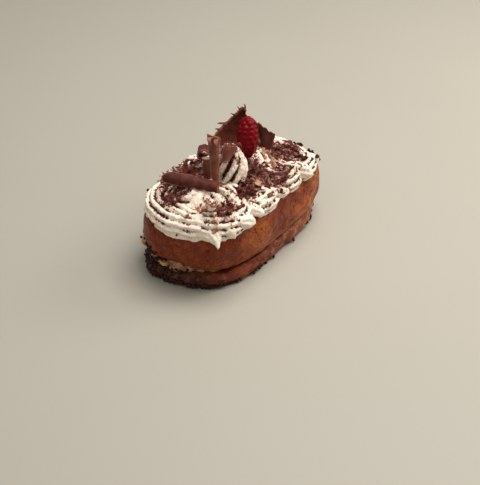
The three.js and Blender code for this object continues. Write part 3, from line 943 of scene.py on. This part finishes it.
def rope(middle, radius, outline_curve):
    """A curve through the rope's middle, swept with the nozzle's outline and made a mesh."""
    data = bpy.data.curves.new("Rope", "CURVE")
    data.dimensions = "3D"
    data.twist_mode = "Z_UP"
    data.bevel_mode = "OBJECT"
    data.bevel_object = outline_curve
    data.use_fill_caps = True
    spline = data.splines.new("POLY")
    spline.points.add(len(middle) - 1)
    for point, place, reach in zip(spline.points, middle, radius):
        point.co = (*place, 1)
        point.radius = reach
    obj = bpy.data.objects.new("Rope", data)
    bpy.context.collection.objects.link(obj)
    select_only(obj)
    bpy.ops.object.convert(target="MESH")
    return bpy.context.object


def arc_through(begin, middle, end, share):
    """Points at those shares of a curve that begins, passes and ends there."""
    share = share[:, None]
    pull = 2 * middle - (begin + end) / 2
    return begin * (1 - share) ** 2 + pull * 2 * share * (1 - share) + end * share**2


def stroke_rope(stroke, outline_curve):
    """A stroke's rope, rounded at its beginning and drawn out where it ends."""
    share = np.linspace(0, 1, 70)
    middle = arc_through(stroke.begin, stroke.middle, stroke.end, share)
    ending = smooth_step(share, 0.45, 1)
    closing = np.sqrt(1 - np.clip((share - 0.82) / 0.185, 0, 1) ** 2)  # round, and not quite to nothing
    opening = 0.55 + 0.45 * smooth_step(share, 0, 0.35)
    radius = stroke.radius * opening * (1 - stroke.point * ending) * closing
    return rope(*evenly(middle, radius, mm(0.8)), outline_curve)


def melt(obj, size, seed, amount=0.6):
    """Smooths the surface here and there, as where ridges of cream have run together."""
    points = points_of(obj)
    share = amount * smooth_step(lumps(points, size, seed), 0.12, 0.5)
    modify(obj, "SMOOTH", factor=0.5, iterations=22)
    move_points(obj, points + (points_of(obj) - points) * share[:, None])


def heart(loop):
    """The mound in a loop: a dome with twisted ridges, its foot inside the dough."""
    bpy.ops.mesh.primitive_uv_sphere_add(segments=HEART_RIDGES * 12, ring_count=64, radius=1)
    obj = bpy.context.object
    points = points_of(obj)
    angle = np.arctan2(points[:, 1], points[:, 0])
    across = np.hypot(points[:, 0], points[:, 1])
    rise = np.arcsin(np.clip(points[:, 2], -1, 1)) / (math.pi / 2)
    grooves = 0.2 * smooth_step(across, 0.1, 0.5)
    reach = across * star(angle - HEART_TWIST * rise, HEART_RIDGES, grooves)
    x = reach * np.cos(angle) * loop.heart_half[0] + loop.heart_at[0]
    y = reach * np.sin(angle) * loop.heart_half[1] + loop.heart_at[1]
    z = HEART_FOOT + np.maximum(points[:, 2], 0) * (loop.heart_top - HEART_FOOT)
    move_points(obj, np.stack([x, y, z], axis=1))
    return obj


def cocoa_share(points, groove, up):
    """How much cocoa dust, with painted shade in the grooves, lies at each point: most in the drifts'
    grooves, none on steep outer sides.
    """
    drifts = np.zeros(len(points))
    for x, y, spread, depth in SHAVING_DRIFTS:
        away = np.hypot(points[:, 0] - mm(x), points[:, 1] - mm(y))
        drifts += depth * np.exp(-((away / mm(spread)) ** 2) / 2)
    drifts = np.minimum(drifts, 1)
    streaky = smooth_step(lumps(points, mm(11), 63), -0.25, 0.2)
    # Cocoa dust and painted shade in the grooves.
    groove_dust_and_shade = groove * (0.42 + 0.36 * streaky) + 0.08 * streaky
    return np.clip((groove_dust_and_shade + drifts * (0.7 + 0.5 * groove)) * smooth_step(up, -0.3, 0.4), 0, 1)


def finish_cream(obj, name, seed, dust_and_shade=None):
    """The fine bumps of whipped cream, and what its material and the scattered chocolate read."""
    melt(obj, mm(8), seed)
    roughen(obj, settings("cream").roughness_height, mm(3.6))
    roughen(obj, 0.5 * settings("cream").roughness_height, mm(1.3))
    groove = hollowness(obj, mm(0.55))
    store(obj, "groove", groove)
    cocoa = cocoa_share(points_of(obj), groove, normals_of(obj)[:, 2])
    if dust_and_shade is not None:
        cocoa = np.clip(0.3 * cocoa + dust_and_shade, 0, 1)
    store(obj, "cocoa", cocoa)
    material = bpy.data.materials.get("Whipped_cream") or cream_finish()
    finish_piece(obj, name + "_piped", "cream", material, name)


def make_cream_loops():
    cream = settings("cream")
    outline_curve = nozzle(cream.ridges, cream.ridge_depth)
    stroke_outline = nozzle(STROKE_RIDGES, 0.75 * cream.ridge_depth)
    for seed, (name, loop) in enumerate(LOOPS.items()):
        middle, radius = rope_route(loop, 160, drawn_tail=name == "cream_front")
        middle, radius = evenly(middle, radius, mm(1.6))
        middle += np.stack([lumps(middle, mm(13), 10 * seed + axis) for axis in range(3)], axis=1) * mm(1.3)
        radius = radius * (1 + 0.11 * lumps(middle, mm(7), 40 + seed))
        piped = rope(middle, radius, outline_curve)
        strokes = [stroke_rope(stroke, stroke_outline) for stroke in STROKES if stroke.loop == name]
        join(piped, heart(loop), *strokes)
        recalculate_normals(piped)
        remesh(piped, CREAM_VOXEL, smoothing=1)
        finish_cream(piped, name, 70 + seed)
    bpy.data.objects.remove(outline_curve)
    bpy.data.objects.remove(stroke_outline)


def peak_leaf(angle, rise):
    """0 in the bottom of the kiss's grooves and 1 on the crests of its leaves."""
    return np.abs(np.cos((angle - PEAK_TWIST * rise + PEAK_TURN) * PEAK_RIDGES / 2))


def make_cream_peak():
    """The tall kiss of cream: a twisted star that swells and then closes to a point."""
    bpy.ops.mesh.primitive_uv_sphere_add(segments=PEAK_RIDGES * 22, ring_count=150, radius=1)
    obj = bpy.context.object
    points = points_of(obj)
    angle = np.arctan2(points[:, 1], points[:, 0])
    rise = np.arccos(np.clip(-points[:, 2], -1, 1)) / math.pi
    swell = np.sin(math.pi * (0.24 + 0.72 * rise**1.15)) ** 0.8
    closed = smooth_step(rise, 0, 0.02) * (1 - smooth_step(rise, 0.97, 1)) ** 0.5
    leaf = peak_leaf(angle, rise) ** 1.25
    depth = PEAK_GROOVE * np.minimum(1, 0.35 + 2 * rise)
    reach = PEAK_RADIUS * swell * closed * (1 - depth * (1 - leaf))
    x = PEAK_AT[0] + reach * np.cos(angle)
    y = PEAK_AT[1] + reach * np.sin(angle) + PEAK_LEAN * rise**2
    z = PEAK_LOW + (PEAK_HIGH - PEAK_LOW) * rise
    move_points(obj, np.stack([x, y, z], axis=1))
    remesh(obj, mm(0.4), smoothing=1)
    points = points_of(obj)
    rise = (points[:, 2] - PEAK_LOW) / (PEAK_HIGH - PEAK_LOW)
    angle = np.arctan2(points[:, 1] - PEAK_AT[1] - PEAK_LEAN * rise**2, points[:, 0] - PEAK_AT[0])
    # Painted shade and cocoa dust in the kiss's grooves; cocoa dust at its tip.
    in_groove = 1 - smooth_step(peak_leaf(angle, rise), 0.35, 0.75)
    at_tip = smooth_step(rise + 0.25 * lumps(points, mm(4), 81), 0.55, 0.95)
    finish_cream(obj, "cream_peak", 80, dust_and_shade=0.95 * in_groove + 0.45 * at_tip + 0.03)


# ---------------------------------------------------------------- raspberry


def drupelet_places():
    """Centres of the drupelets, in rows round the berry's own axis."""
    places = []
    for row in range(DRUPELET_ROWS):
        latitude = LOWEST_DRUPELETS + (HIGHEST_DRUPELETS - LOWEST_DRUPELETS) * row / (DRUPELET_ROWS - 1)
        ring = (BERRY_RADIUS - DRUPELET) * math.cos(latitude)
        height = (BERRY_HALF_HEIGHT - DRUPELET) * math.sin(latitude)
        count = max(1, round(2 * math.pi * ring / (1.65 * DRUPELET)))
        for i in range(count):
            angle = (i + 0.5 * (row % 2)) * 2 * math.pi / count
            places.append((ring * math.cos(angle), ring * math.sin(angle), height))
    return np.array(places)


def make_raspberry():
    rng = np.random.default_rng(11)
    bpy.ops.mesh.primitive_ico_sphere_add(subdivisions=4, radius=1)
    obj = bpy.context.object
    move_points(obj, points_of(obj) * 0.9 * np.array([BERRY_RADIUS, BERRY_RADIUS, BERRY_HALF_HEIGHT]))
    bpy.ops.mesh.primitive_ico_sphere_add(subdivisions=3, radius=DRUPELET)
    drupelet = bpy.context.object
    drupelets = [drupelet]
    for place in drupelet_places():
        copy = drupelet.copy()
        copy.data = drupelet.data.copy()
        bpy.context.collection.objects.link(copy)
        copy.location = place * rng.uniform(0.97, 1.02)
        copy.scale = rng.uniform(0.9, 1.06, 3)
        drupelets.append(copy)
    select_only(*drupelets[1:])
    bpy.ops.object.transform_apply(location=True, rotation=True, scale=True)
    bpy.data.objects.remove(drupelet)
    join(obj, *drupelets[1:])
    remesh(obj, mm(0.24), smoothing=7)
    move_points(obj, points_of(obj) @ np.array(BERRY_LEAN.to_matrix()).T + BERRY_AT)
    store(obj, "groove", hollowness(obj, mm(0.35), rounds=10))
    finish_piece(obj, "raspberry_fruit", "berry", berry_finish(), "raspberry")


# ---------------------------------------------------------------- chocolate


def sheet_surface(sheet):
    """A function from shares across and down a bent sheet to places on it."""
    down = sheet.lower_left - sheet.upper_left
    out = np.cross(down, sheet.upper_right - sheet.upper_left)
    out /= np.linalg.norm(out)

    def surface(across, share):
        upper = sheet.upper_left + np.outer(across, sheet.upper_right - sheet.upper_left)
        lower = sheet.lower_left + np.outer(across, sheet.lower_right - sheet.lower_left)
        bent = sheet.bend * 4 * across * (1 - across)
        return upper + (lower - upper) * share[:, None] + bent[:, None] * out

    return surface


def roll_surface(roll):
    """A function from shares round and along a rolled sheet to places on it."""
    along = roll.end - roll.start
    side = np.cross((0, 0, 1), along)
    side /= np.linalg.norm(side)
    up = np.cross(along, side)
    up /= np.linalg.norm(up)

    def surface(across, share):
        angle = roll.facing + roll.arc * (across - 0.5)
        reach = roll.radius * (1 - roll.taper * share)
        slant = roll.skew * (across - 0.5) + 0.03 * np.cos(6 * across)
        middle = roll.start + np.outer(share + slant, along)
        return middle + np.outer(reach * np.cos(angle), side) + np.outer(reach * np.sin(angle), up)

    return surface


def ragged_sheet(surface, size, ragged, thickness, seed):
    """A grid laid over a surface, its edges broken unevenly, then given its thickness."""
    across_count, down_count = (max(12, round(side / mm(0.45))) for side in size)
    bpy.ops.mesh.primitive_grid_add(x_subdivisions=across_count, y_subdivisions=down_count, size=1)
    obj = bpy.context.object
    flat = points_of(obj)
    across, down = flat[:, 0] + 0.5, 0.5 - flat[:, 1]
    border = np.minimum((0.5 - np.abs(across - 0.5)) * size[0], (0.5 - np.abs(down - 0.5)) * size[1])
    # Edges, for the painted highlight with scraped bloom.
    store(obj, "edge", 1 - smooth_step(border, mm(0.2), mm(1.3)))
    here = np.stack([across * size[0], down * size[1], 0 * down], axis=1)
    for axis, share in enumerate((across, down)):
        chips = smooth_step(lumps(here, mm(4.5), seed + axis), 0.05, 0.3)
        nicks = 0.22 * lumps(here, mm(1.1), seed + 5 + axis)
        near_edge = smooth_step(np.abs(2 * share - 1), 0.5, 1)
        share -= np.sign(share - 0.5) * near_edge * ragged * (chips + nicks) / size[axis]
    places = surface(across, down)
    ripple = lumps(here * (1, 0.5, 1), mm(6), seed + 9) * mm(0.35)
    move_points(obj, places)
    move_points(obj, places + normals_of(obj) * ripple[:, None])
    modify(obj, "SOLIDIFY", thickness=thickness, offset=0)
    sharp = math.radians(50)
    modify(obj, "BEVEL", width=0.3 * thickness, segments=2, limit_method="ANGLE", angle_limit=sharp)
    return obj


# Thin pieces that have split off a sheet's upper edge: the shares across and down the sheet where each
# begins, how far it bends and ends from there, and its width.
Splinter = namedtuple("Splinter", "across down bend end width")
SPLINTERS = {
    "sheet_left": [
        Splinter(0.85, 0.1, mm(-0.3, 0.2, 3), mm(-1.7, 1, 5.4), mm(1.3)),
        Splinter(0.75, 0.1, mm(-2.1, 1.1, 2), mm(-4.1, 2, 3.6), mm(1.2)),
        Splinter(0.48, 0.1, mm(-3.6, 1.7, 1.8), mm(-6.8, 3.1, 2.8), mm(2)),
        Splinter(0.26, 0.1, mm(-1.9, 1, 1.6), mm(-3.7, 1.8, 2.4), mm(1.7)),
        Splinter(0.95, 0.1, mm(0.8, -0.6, 2.6), mm(0.2, 0, 4.9), mm(1.5)),
    ],
    "curl_standing": [
        Splinter(0.25, 0.04, mm(-3.6, -0.6, 0.6), mm(-4, -3, -2.6), mm(3.6)),
        Splinter(0.7, 0.04, mm(-3.2, -1.8, -0.2), mm(-3.6, -3.6, -3.2), mm(3)),
    ],
}
SPLINTER_FACING = (-1, -0.7, 0.6)  # the way that their flat sides look
# Curls that take the lit copy of the chocolate, which is painted light.
PAINTED_LIT_CURLS = ("curl_standing", "curl_on_peak", "curl_shaded")


def splinters(bands, surface):
    """Thin bent strips of chocolate that grow out of a sheet and taper to their ends."""
    strips = []
    for seed, band in enumerate(bands):
        begin = surface(np.array([band.across]), np.array([band.down]))[0]
        bend, end = begin + band.bend, begin + band.end
        bpy.ops.mesh.primitive_grid_add(x_subdivisions=5, y_subdivisions=18, size=1)
        obj = bpy.context.object
        flat = points_of(obj)
        share = flat[:, 1] + 0.5
        middle = arc_through(begin, bend, end, share)
        side = np.cross(end - begin, SPLINTER_FACING)
        side /= np.linalg.norm(side)
        taper = (1 - 0.75 * share**1.6) * (1 + 0.5 * lumps(flat * mm(12), mm(4), seed))
        move_points(obj, middle + side * flat[:, :1] * band.width * taper[:, None])
        # Splinters take the painted highlight with scraped bloom over much of them.
        store(obj, "edge", np.full(len(flat), 0.7))
        modify(obj, "SOLIDIFY", thickness=mm(0.5), offset=0)
        strips.append(obj)
    return strips


def make_curls():
    chocolate = settings("chocolate")
    material = chocolate_finish("Scraped_chocolate", chocolate.dark, chocolate.bloom)
    # Painted light: a lit copy of the dark chocolate.
    lighter = chocolate_finish("Painted_lit_chocolate", chocolate.lit, SCRAPED_LIT)
    for seed, (name, roll) in enumerate(ROLLS.items()):
        length = float(np.linalg.norm(roll.end - roll.start))
        size = (roll.radius * roll.arc, length)
        obj = ragged_sheet(roll_surface(roll), size, mm(0.8), chocolate.thickness, 20 + seed)
        finish_piece(obj, name + "_chocolate", "chocolate", material, name)
    for seed, (name, sheet) in enumerate(SHEETS.items()):
        surface = sheet_surface(sheet)
        width = float(np.linalg.norm(sheet.upper_right - sheet.upper_left))
        height = float(np.linalg.norm(sheet.lower_left - sheet.upper_left))
        obj = ragged_sheet(surface, (width, height), sheet.ragged, chocolate.thickness, 30 + seed)
        if name in SPLINTERS:
            join(obj, *splinters(SPLINTERS[name], surface))
        finish = lighter if name in PAINTED_LIT_CURLS else material
        finish_piece(obj, name + "_chocolate", "chocolate", finish, name)


def model_shaving(width, length, arc, thickness, seed, segments=(2, 3)):
    """One shaving, curled by an arc in radians round its own width: its points and faces."""
    bpy.ops.mesh.primitive_grid_add(x_subdivisions=segments[0], y_subdivisions=segments[1], size=1)
    obj = bpy.context.object
    flat = points_of(obj)
    bitten = 1 + 0.5 * lumps(flat, 0.4, seed)
    angle = flat[:, 1] * arc
    radius = length / max(arc, 0.01)
    places = [flat[:, 0] * width * bitten, radius * np.sin(angle), radius * (1 - np.cos(angle))]
    move_points(obj, np.stack(places, axis=1))
    modify(obj, "SOLIDIFY", thickness=thickness, offset=0)
    return taken_apart(obj)


def model_crumb(seed):
    """One angular crumb, a millimetre across."""
    bpy.ops.mesh.primitive_ico_sphere_add(subdivisions=1, radius=mm(0.5))
    obj = bpy.context.object
    points = points_of(obj)
    move_points(obj, points * (1 + 0.5 * lumps(points, mm(0.45), seed))[:, None] * (1, 0.8, 0.6))
    return taken_apart(obj)


def model_vermicello():
    """One short strand of vermicelli with rounded ends."""
    bpy.ops.mesh.primitive_cylinder_add(vertices=7, radius=mm(0.8), depth=mm(2.5), end_fill_type="TRIFAN")
    obj = bpy.context.object
    modify(obj, "BEVEL", width=mm(0.35), segments=1, limit_method="ANGLE", angle_limit=math.radians(60))
    points = points_of(obj)
    points[:, 0] += 60 * points[:, 2] ** 2
    move_points(obj, points)
    return taken_apart(obj)


def taken_apart(obj):
    """An object's points and faces; the object itself goes."""
    shape = (points_of(obj), [list(face.vertices) for face in obj.data.polygons])
    bpy.data.objects.remove(obj)
    return shape


def strew(name, shapes, places, turns, scales):
    """One joined mesh of many copies of the shapes."""
    points = []
    faces = []
    count = 0
    for i, (place, turn, scale) in enumerate(zip(places, turns, scales)):
        shape_points, shape_faces = shapes[i % len(shapes)]
        points.append((shape_points * scale) @ np.array(turn.to_matrix()).T + place)
        faces.extend([[corner + count for corner in face] for face in shape_faces])
        count += len(shape_points)
    mesh = bpy.data.meshes.new(name)
    mesh.from_pydata(np.concatenate(points).tolist(), [], faces)
    mesh.update()
    obj = bpy.data.objects.new(name, mesh)
    bpy.context.collection.objects.link(obj)
    return obj


CREAM_PIECES = [name + "_piped" for name in ("cream_peak", *LOOPS)]


def cream_ground():
    """Points, normals, cocoa shares and hollowness of all the piped cream that faces up."""
    pieces = [bpy.data.objects[name] for name in CREAM_PIECES]
    points = np.concatenate([points_of(obj) for obj in pieces])
    normals = np.concatenate([normals_of(obj) for obj in pieces])
    cocoa, groove = (np.concatenate([stored(obj, key) for obj in pieces]) for key in ("cocoa", "groove"))
    shown = (normals[:, 2] > 0.05) & (points[:, 2] > DOUGH_TOP - mm(6))
    return points[shown], normals[shown], cocoa[shown], groove[shown]


def laid(rng, normals, tilt):
    """Turns that lay a grain flat on the surface, spun at random and tipped up by about tilt."""
    turns = []
    for normal in normals:
        flat = Vector(normal).to_track_quat("Z", "Y")
        spin = Quaternion((0, 0, 1), rng.uniform(0, 2 * math.pi))
        tip = Euler((rng.normal(0, tilt), rng.normal(0, tilt), 0)).to_quaternion()
        turns.append(flat @ spin @ tip)
    return turns


def scatter(name, shapes, material, rng, ground, weights, count, lift, tilt, sizes, uneven=0.0):
    """Lays that many copies of the shapes on the ground, thickest where the weights are high: how far each is
    lifted, how far it tips up in radians, and the range of its size, made uneven by a share."""
    points, normals = ground[:2]
    spots = rng.choice(len(points), count, replace=False, p=weights / weights.sum())
    places = points[spots] + normals[spots] * lift
    scales = rng.uniform(*sizes, (count, 1)) * np.ones(3)
    if uneven:
        scales = scales * rng.uniform(1 - uneven, 1 + uneven, (count, 3))
    obj = strew(name, shapes, places, laid(rng, normals[spots], tilt), scales)
    finish_piece(obj, name, "chocolate", material)


# Milk chocolate flakes: the places that they lie round, how far they spread there, and how many there are.
MILK_FLAKES_AT = [mm(-50, -18), mm(-53, -12), mm(-52, -19), mm(20, -15), mm(-7, -24)]
MILK_FLAKES_SPREAD = mm(4)
MILK_FLAKES = 38
DARK_FLAKES = 110


def make_shavings():
    rng = np.random.default_rng(21)
    chocolate = settings("chocolate")
    ground = cream_ground()
    points, _, cocoa, groove = ground
    dark = chocolate_finish("Dark_shavings", chocolate.grated, chocolate.bloom, small=True)
    milk = chocolate_finish("Milk_flakes", chocolate.milk, SCRAPED_MILK, small=True)

    shavings = [
        model_shaving(mm(1.1), mm(2.4), 0.9, mm(0.22), 1),
        model_shaving(mm(1.5), mm(3.2), 1.5, mm(0.22), 2),
        model_shaving(mm(0.8), mm(3.0), 0.6, mm(0.2), 3),
        model_shaving(mm(1.3), mm(1.9), 1.1, mm(0.25), 4),
    ]
    thick = cocoa**2.6 * (0.6 + groove) * smooth_step(lumps(points, mm(3.2), 61), -0.3, 0.2)
    count = chocolate.shavings
    scatter("dark_shavings", shavings, dark, rng, ground, thick, count, mm(0.25), 0.45, (0.4, 1.1), 0.25)

    flakes = [
        model_shaving(mm(3.2), mm(5.0), 0.8, mm(0.35), 6, (4, 6)),
        model_shaving(mm(2.4), mm(4.2), 1.6, mm(0.3), 7, (3, 7)),
        model_shaving(mm(2.0), mm(5.6), 2.4, mm(0.3), 8, (3, 9)),
    ]
    scatter("dark_flakes", flakes, dark, rng, ground, cocoa**2, DARK_FLAKES, mm(0.7), 0.6, (0.6, 1.2))

    away = [np.sum((points[:, :2] - at) ** 2, axis=1) for at in MILK_FLAKES_AT]
    near = sum(np.exp(-square / (2 * MILK_FLAKES_SPREAD**2)) for square in away)
    scatter("milk_flakes", flakes, milk, rng, ground, near, MILK_FLAKES, mm(0.6), 0.5, (0.5, 1.5))


def make_crumbs():
    rng = np.random.default_rng(31)
    ground = cream_ground()
    points, _, cocoa, groove = ground
    shapes = [model_crumb(seed) for seed in range(5)]
    weights = (cocoa**1.5 + 0.01) * (0.2 + groove) * smooth_step(lumps(points, mm(2), 62), -0.5, 0.3)
    count = settings("chocolate").crumbs
    material = bpy.data.materials["Dark_shavings"]
    scatter("chocolate_crumbs", shapes, material, rng, ground, weights, count, mm(0.1), 1.0, (0.35, 1.25))


# Vermicelli on the cream, most at the back: the middle of each cluster, its spread and how many lie there.
CREAM_VERMICELLI = [
    (mm(51, -19), mm(1.8), 9),
    (mm(54, -15), mm(1.6), 5),
    (mm(48, -26), mm(1.2), 6),
    (mm(37, -28), mm(1.4), 4),
    (mm(48.5, -33), mm(1.2), 4),
    (mm(50, 12), mm(8), 7),
    (mm(30, 28), mm(7), 5),
]
# Stretches of the pastry's foot that vermicelli stick to: the bearing in degrees and its spread, the
# height and its spread, and the share of all of them.
FOOT_VERMICELLI = [
    (150, 9, mm(13), mm(5), 0.2),
    (163, 15, mm(6), mm(4), 0.3),
    (193, 14, mm(2.4), mm(1.7), 0.18),
    (215, 18, mm(1.5), mm(0.8), 0.12),
    (120, 30, mm(4), mm(2.5), 0.1),
    (330, 25, mm(2), mm(1.2), 0.07),
    (40, 30, mm(3), mm(1.8), 0.03),
]


def strands(name, material, rng, places, normals, tilt, sizes):
    """Vermicelli that lie along the surface at those places."""
    scales = rng.uniform(*sizes, (len(places), 3))
    turns = [turn @ Quaternion((1, 0, 0), math.pi / 2) for turn in laid(rng, normals, tilt)]
    obj = strew(name, [model_vermicello()], places, turns, scales)
    rest_on_floor(obj)
    finish_piece(obj, name, "chocolate", material)


def foot_weights(points, normals):
    """How likely each point of the doughs and the custard is to hold a strand."""
    reach = np.hypot(points[:, 0] / LENGTH, points[:, 1] / WIDTH)
    bearing = np.degrees(np.arctan2(points[:, 1] * LENGTH / WIDTH, points[:, 0])) % 360
    outside = (np.abs(normals[:, 2]) < 0.95) & (reach > 0.42) & (points[:, 2] < mm(24))
    weights = np.zeros(len(points))
    for middle, spread, height, height_spread, share in FOOT_VERMICELLI:
        away = (bearing - middle + 180) % 360 - 180
        stretch = np.exp(-((away / spread) ** 2) / 2 - ((points[:, 2] - height) / height_spread) ** 2 / 2)
        stretch *= outside
        weights += share * stretch / stretch.sum()
    return weights


def make_vermicelli():
    rng = np.random.default_rng(41)
    material = chocolate_finish("Vermicelli", STRAND, STRAND_BLOOM, small=True)

    points, normals, _, _ = cream_ground()
    spots = []
    for at, spread, count in CREAM_VERMICELLI:
        weights = np.exp(-np.sum((points[:, :2] - at) ** 2, axis=1) / (2 * spread**2))
        spots.extend(rng.choice(len(points), count, replace=False, p=weights / weights.sum()))
    places = points[spots] + normals[spots] * rng.uniform(mm(0.5), mm(1.7), (len(spots), 1))
    strands("cream_vermicelli", material, rng, places, normals[spots], 0.4, (0.95, 1.2))

    carriers = [bpy.data.objects[name] for name in ("under_dough", "custard", "upper_dough")]
    points = np.concatenate([points_of(obj) for obj in carriers])
    normals = np.concatenate([normals_of(obj) for obj in carriers])
    weights = foot_weights(points, normals)
    count = settings("chocolate").vermicelli
    spots = rng.choice(len(points), count, replace=False, p=weights / weights.sum())
    places = points[spots] + normals[spots] * mm(0.55)
    places[:, 2] = np.maximum(places[:, 2], mm(0.8))
    strands("foot_vermicelli", material, rng, places, normals[spots], 0.5, (0.85, 1.15))


# ---------------------------------------------------------------- stage

CAMERA_TARGET = Vector(mm(-4, -8.5, 0))
VIEW_BEARING = math.radians(36.5)  # of the way the camera looks, from +X towards +Y
VIEW_ELEVATION = math.radians(37.5)
CAMERA_DISTANCE = mm(755.8)
CAMERA_LENS = 85
LIGHT_DISTANCE = 0.9
NEAR_WHITE = (1.0, 0.98, 0.95)
WARM_WHITE = (1.0, 0.97, 0.92)


def towards(bearing, elevation):
    """The direction of a place seen from the pastry, both angles in radians."""
    flat = math.cos(elevation)
    return Vector((math.cos(bearing) * flat, math.sin(bearing) * flat, math.sin(elevation)))


def make_camera():
    data = bpy.data.cameras.new("Camera")
    data.lens = CAMERA_LENS
    camera = bpy.data.objects.new("Camera", data)
    bpy.context.collection.objects.link(camera)
    back = towards(VIEW_BEARING + math.pi, VIEW_ELEVATION)
    camera.location = CAMERA_TARGET + back * CAMERA_DISTANCE
    camera.rotation_euler = (-back).to_track_quat("-Z", "Y").to_euler()
    bpy.context.scene.camera = camera


def make_soft_light(name, bearing, elevation, size, power, colour):
    """A square soft box that faces the pastry, its bearing counted from the way the camera looks."""
    bpy.ops.object.light_add(type="AREA")
    light = bpy.context.object
    light.name = name
    light.data.size = size
    light.data.energy = power
    light.data.color = colour
    way = towards(VIEW_BEARING + math.radians(bearing), math.radians(elevation))
    light.location = way * LIGHT_DISTANCE
    light.rotation_euler = way.to_track_quat("Z", "Y").to_euler()


def make_floor():
    bpy.ops.mesh.primitive_plane_add(size=6)
    floor = bpy.context.object
    floor.name = "floor"
    floor.data.materials.append(floor_finish())


def make_stage():
    stage = settings("stage")
    make_floor()
    make_camera()
    make_soft_light("Key", -60, 74, 0.5, stage.key_power, NEAR_WHITE)
    make_soft_light("Side", -70, 36, 0.4, stage.fill_power, WARM_WHITE)
    make_soft_light("Front", 160, 58, 0.5, stage.front_power, NEAR_WHITE)
    world = bpy.data.worlds.new("Room")
    bpy.context.scene.world = world
    world.use_nodes = True
    background = world.node_tree.nodes["Background"]
    background.inputs["Color"].default_value = (*NEAR_WHITE, 1)
    background.inputs["Strength"].default_value = stage.air
    bpy.context.scene.view_settings.view_transform = "Standard"


# ---------------------------------------------------------------- the add-on


class PASTRY_OT_stage(bpy.types.Operator):
    """Sets up the floor, the soft light and the camera"""

    bl_idname = "pastry.stage"
    bl_label = "Set the stage"

    def execute(self, context):
        make_stage()
        return {"FINISHED"}


class PASTRY_OT_doughs(bpy.types.Operator):
    """Models the upper and lower halves of the fried bun"""

    bl_idname = "pastry.doughs"
    bl_label = "Fry the doughs"

    def execute(self, context):
        make_top_dough()
        make_base_dough()
        return {"FINISHED"}


class PASTRY_OT_custard(bpy.types.Operator):
    """Models the custard between the doughs"""

    bl_idname = "pastry.custard"
    bl_label = "Fill with custard"

    def execute(self, context):
        make_custard()
        return {"FINISHED"}


class PASTRY_OT_cream_loops(bpy.types.Operator):
    """Pipes the four loops of cream"""

    bl_idname = "pastry.cream_loops"
    bl_label = "Pipe the loops of cream"

    def execute(self, context):
        make_cream_loops()
        return {"FINISHED"}


class PASTRY_OT_cream_peak(bpy.types.Operator):
    """Pipes the tall kiss of cream"""

    bl_idname = "pastry.cream_peak"
    bl_label = "Pipe the kiss of cream"

    def execute(self, context):
        make_cream_peak()
        return {"FINISHED"}


class PASTRY_OT_raspberry(bpy.types.Operator):
    """Models the raspberry"""

    bl_idname = "pastry.raspberry"
    bl_label = "Add the raspberry"

    def execute(self, context):
        make_raspberry()
        return {"FINISHED"}


class PASTRY_OT_curls(bpy.types.Operator):
    """Models the large chocolate curls and sheets"""

    bl_idname = "pastry.curls"
    bl_label = "Add the chocolate curls"

    def execute(self, context):
        make_curls()
        return {"FINISHED"}


class PASTRY_OT_shavings(bpy.types.Operator):
    """Scatters shavings and flakes of chocolate over the cream"""

    bl_idname = "pastry.shavings"
    bl_label = "Scatter shavings"

    def execute(self, context):
        make_shavings()
        return {"FINISHED"}


class PASTRY_OT_crumbs(bpy.types.Operator):
    """Scatters chocolate crumbs over the cream"""

    bl_idname = "pastry.crumbs"
    bl_label = "Scatter crumbs"

    def execute(self, context):
        make_crumbs()
        return {"FINISHED"}


class PASTRY_OT_vermicelli(bpy.types.Operator):
    """Sticks vermicelli to the cream and to the foot of the bun"""

    bl_idname = "pastry.vermicelli"
    bl_label = "Add vermicelli"

    def execute(self, context):
        make_vermicelli()
        return {"FINISHED"}


OPERATORS = [
    PASTRY_OT_stage,
    PASTRY_OT_doughs,
    PASTRY_OT_custard,
    PASTRY_OT_cream_loops,
    PASTRY_OT_cream_peak,
    PASTRY_OT_raspberry,
    PASTRY_OT_curls,
    PASTRY_OT_shavings,
    PASTRY_OT_crumbs,
    PASTRY_OT_vermicelli,
]


class PASTRY_PT_panel(bpy.types.Panel):
    """Lists the pastry's pieces and settings"""

    bl_idname = "PASTRY_PT_panel"
    bl_label = "Cream pastry"
    bl_space_type = "VIEW_3D"
    bl_region_type = "UI"
    bl_category = "Pastry"

    def draw(self, context):
        for name, group in SETTINGS.items():
            box = self.layout.box()
            box.label(text=name.title())
            for key in group.__annotations__:
                box.prop(settings(name), key)
        for operator in OPERATORS:
            self.layout.operator(operator.bl_idname)


def register():
    for cls in (*SETTINGS.values(), *OPERATORS, PASTRY_PT_panel):
        bpy.utils.register_class(cls)
    for name, group in SETTINGS.items():
        setattr(bpy.types.Scene, "pastry_" + name, PointerProperty(type=group))


def unregister():
    for name in SETTINGS:
        delattr(bpy.types.Scene, "pastry_" + name)
    for cls in (PASTRY_PT_panel, *reversed(OPERATORS), *SETTINGS.values()):
        bpy.utils.unregister_class(cls)


def main():
    register()
    for operator in OPERATORS:
        group, name = operator.bl_idname.split(".")
        getattr(getattr(bpy.ops, group), name)()


if __name__ == "__main__":
    main()
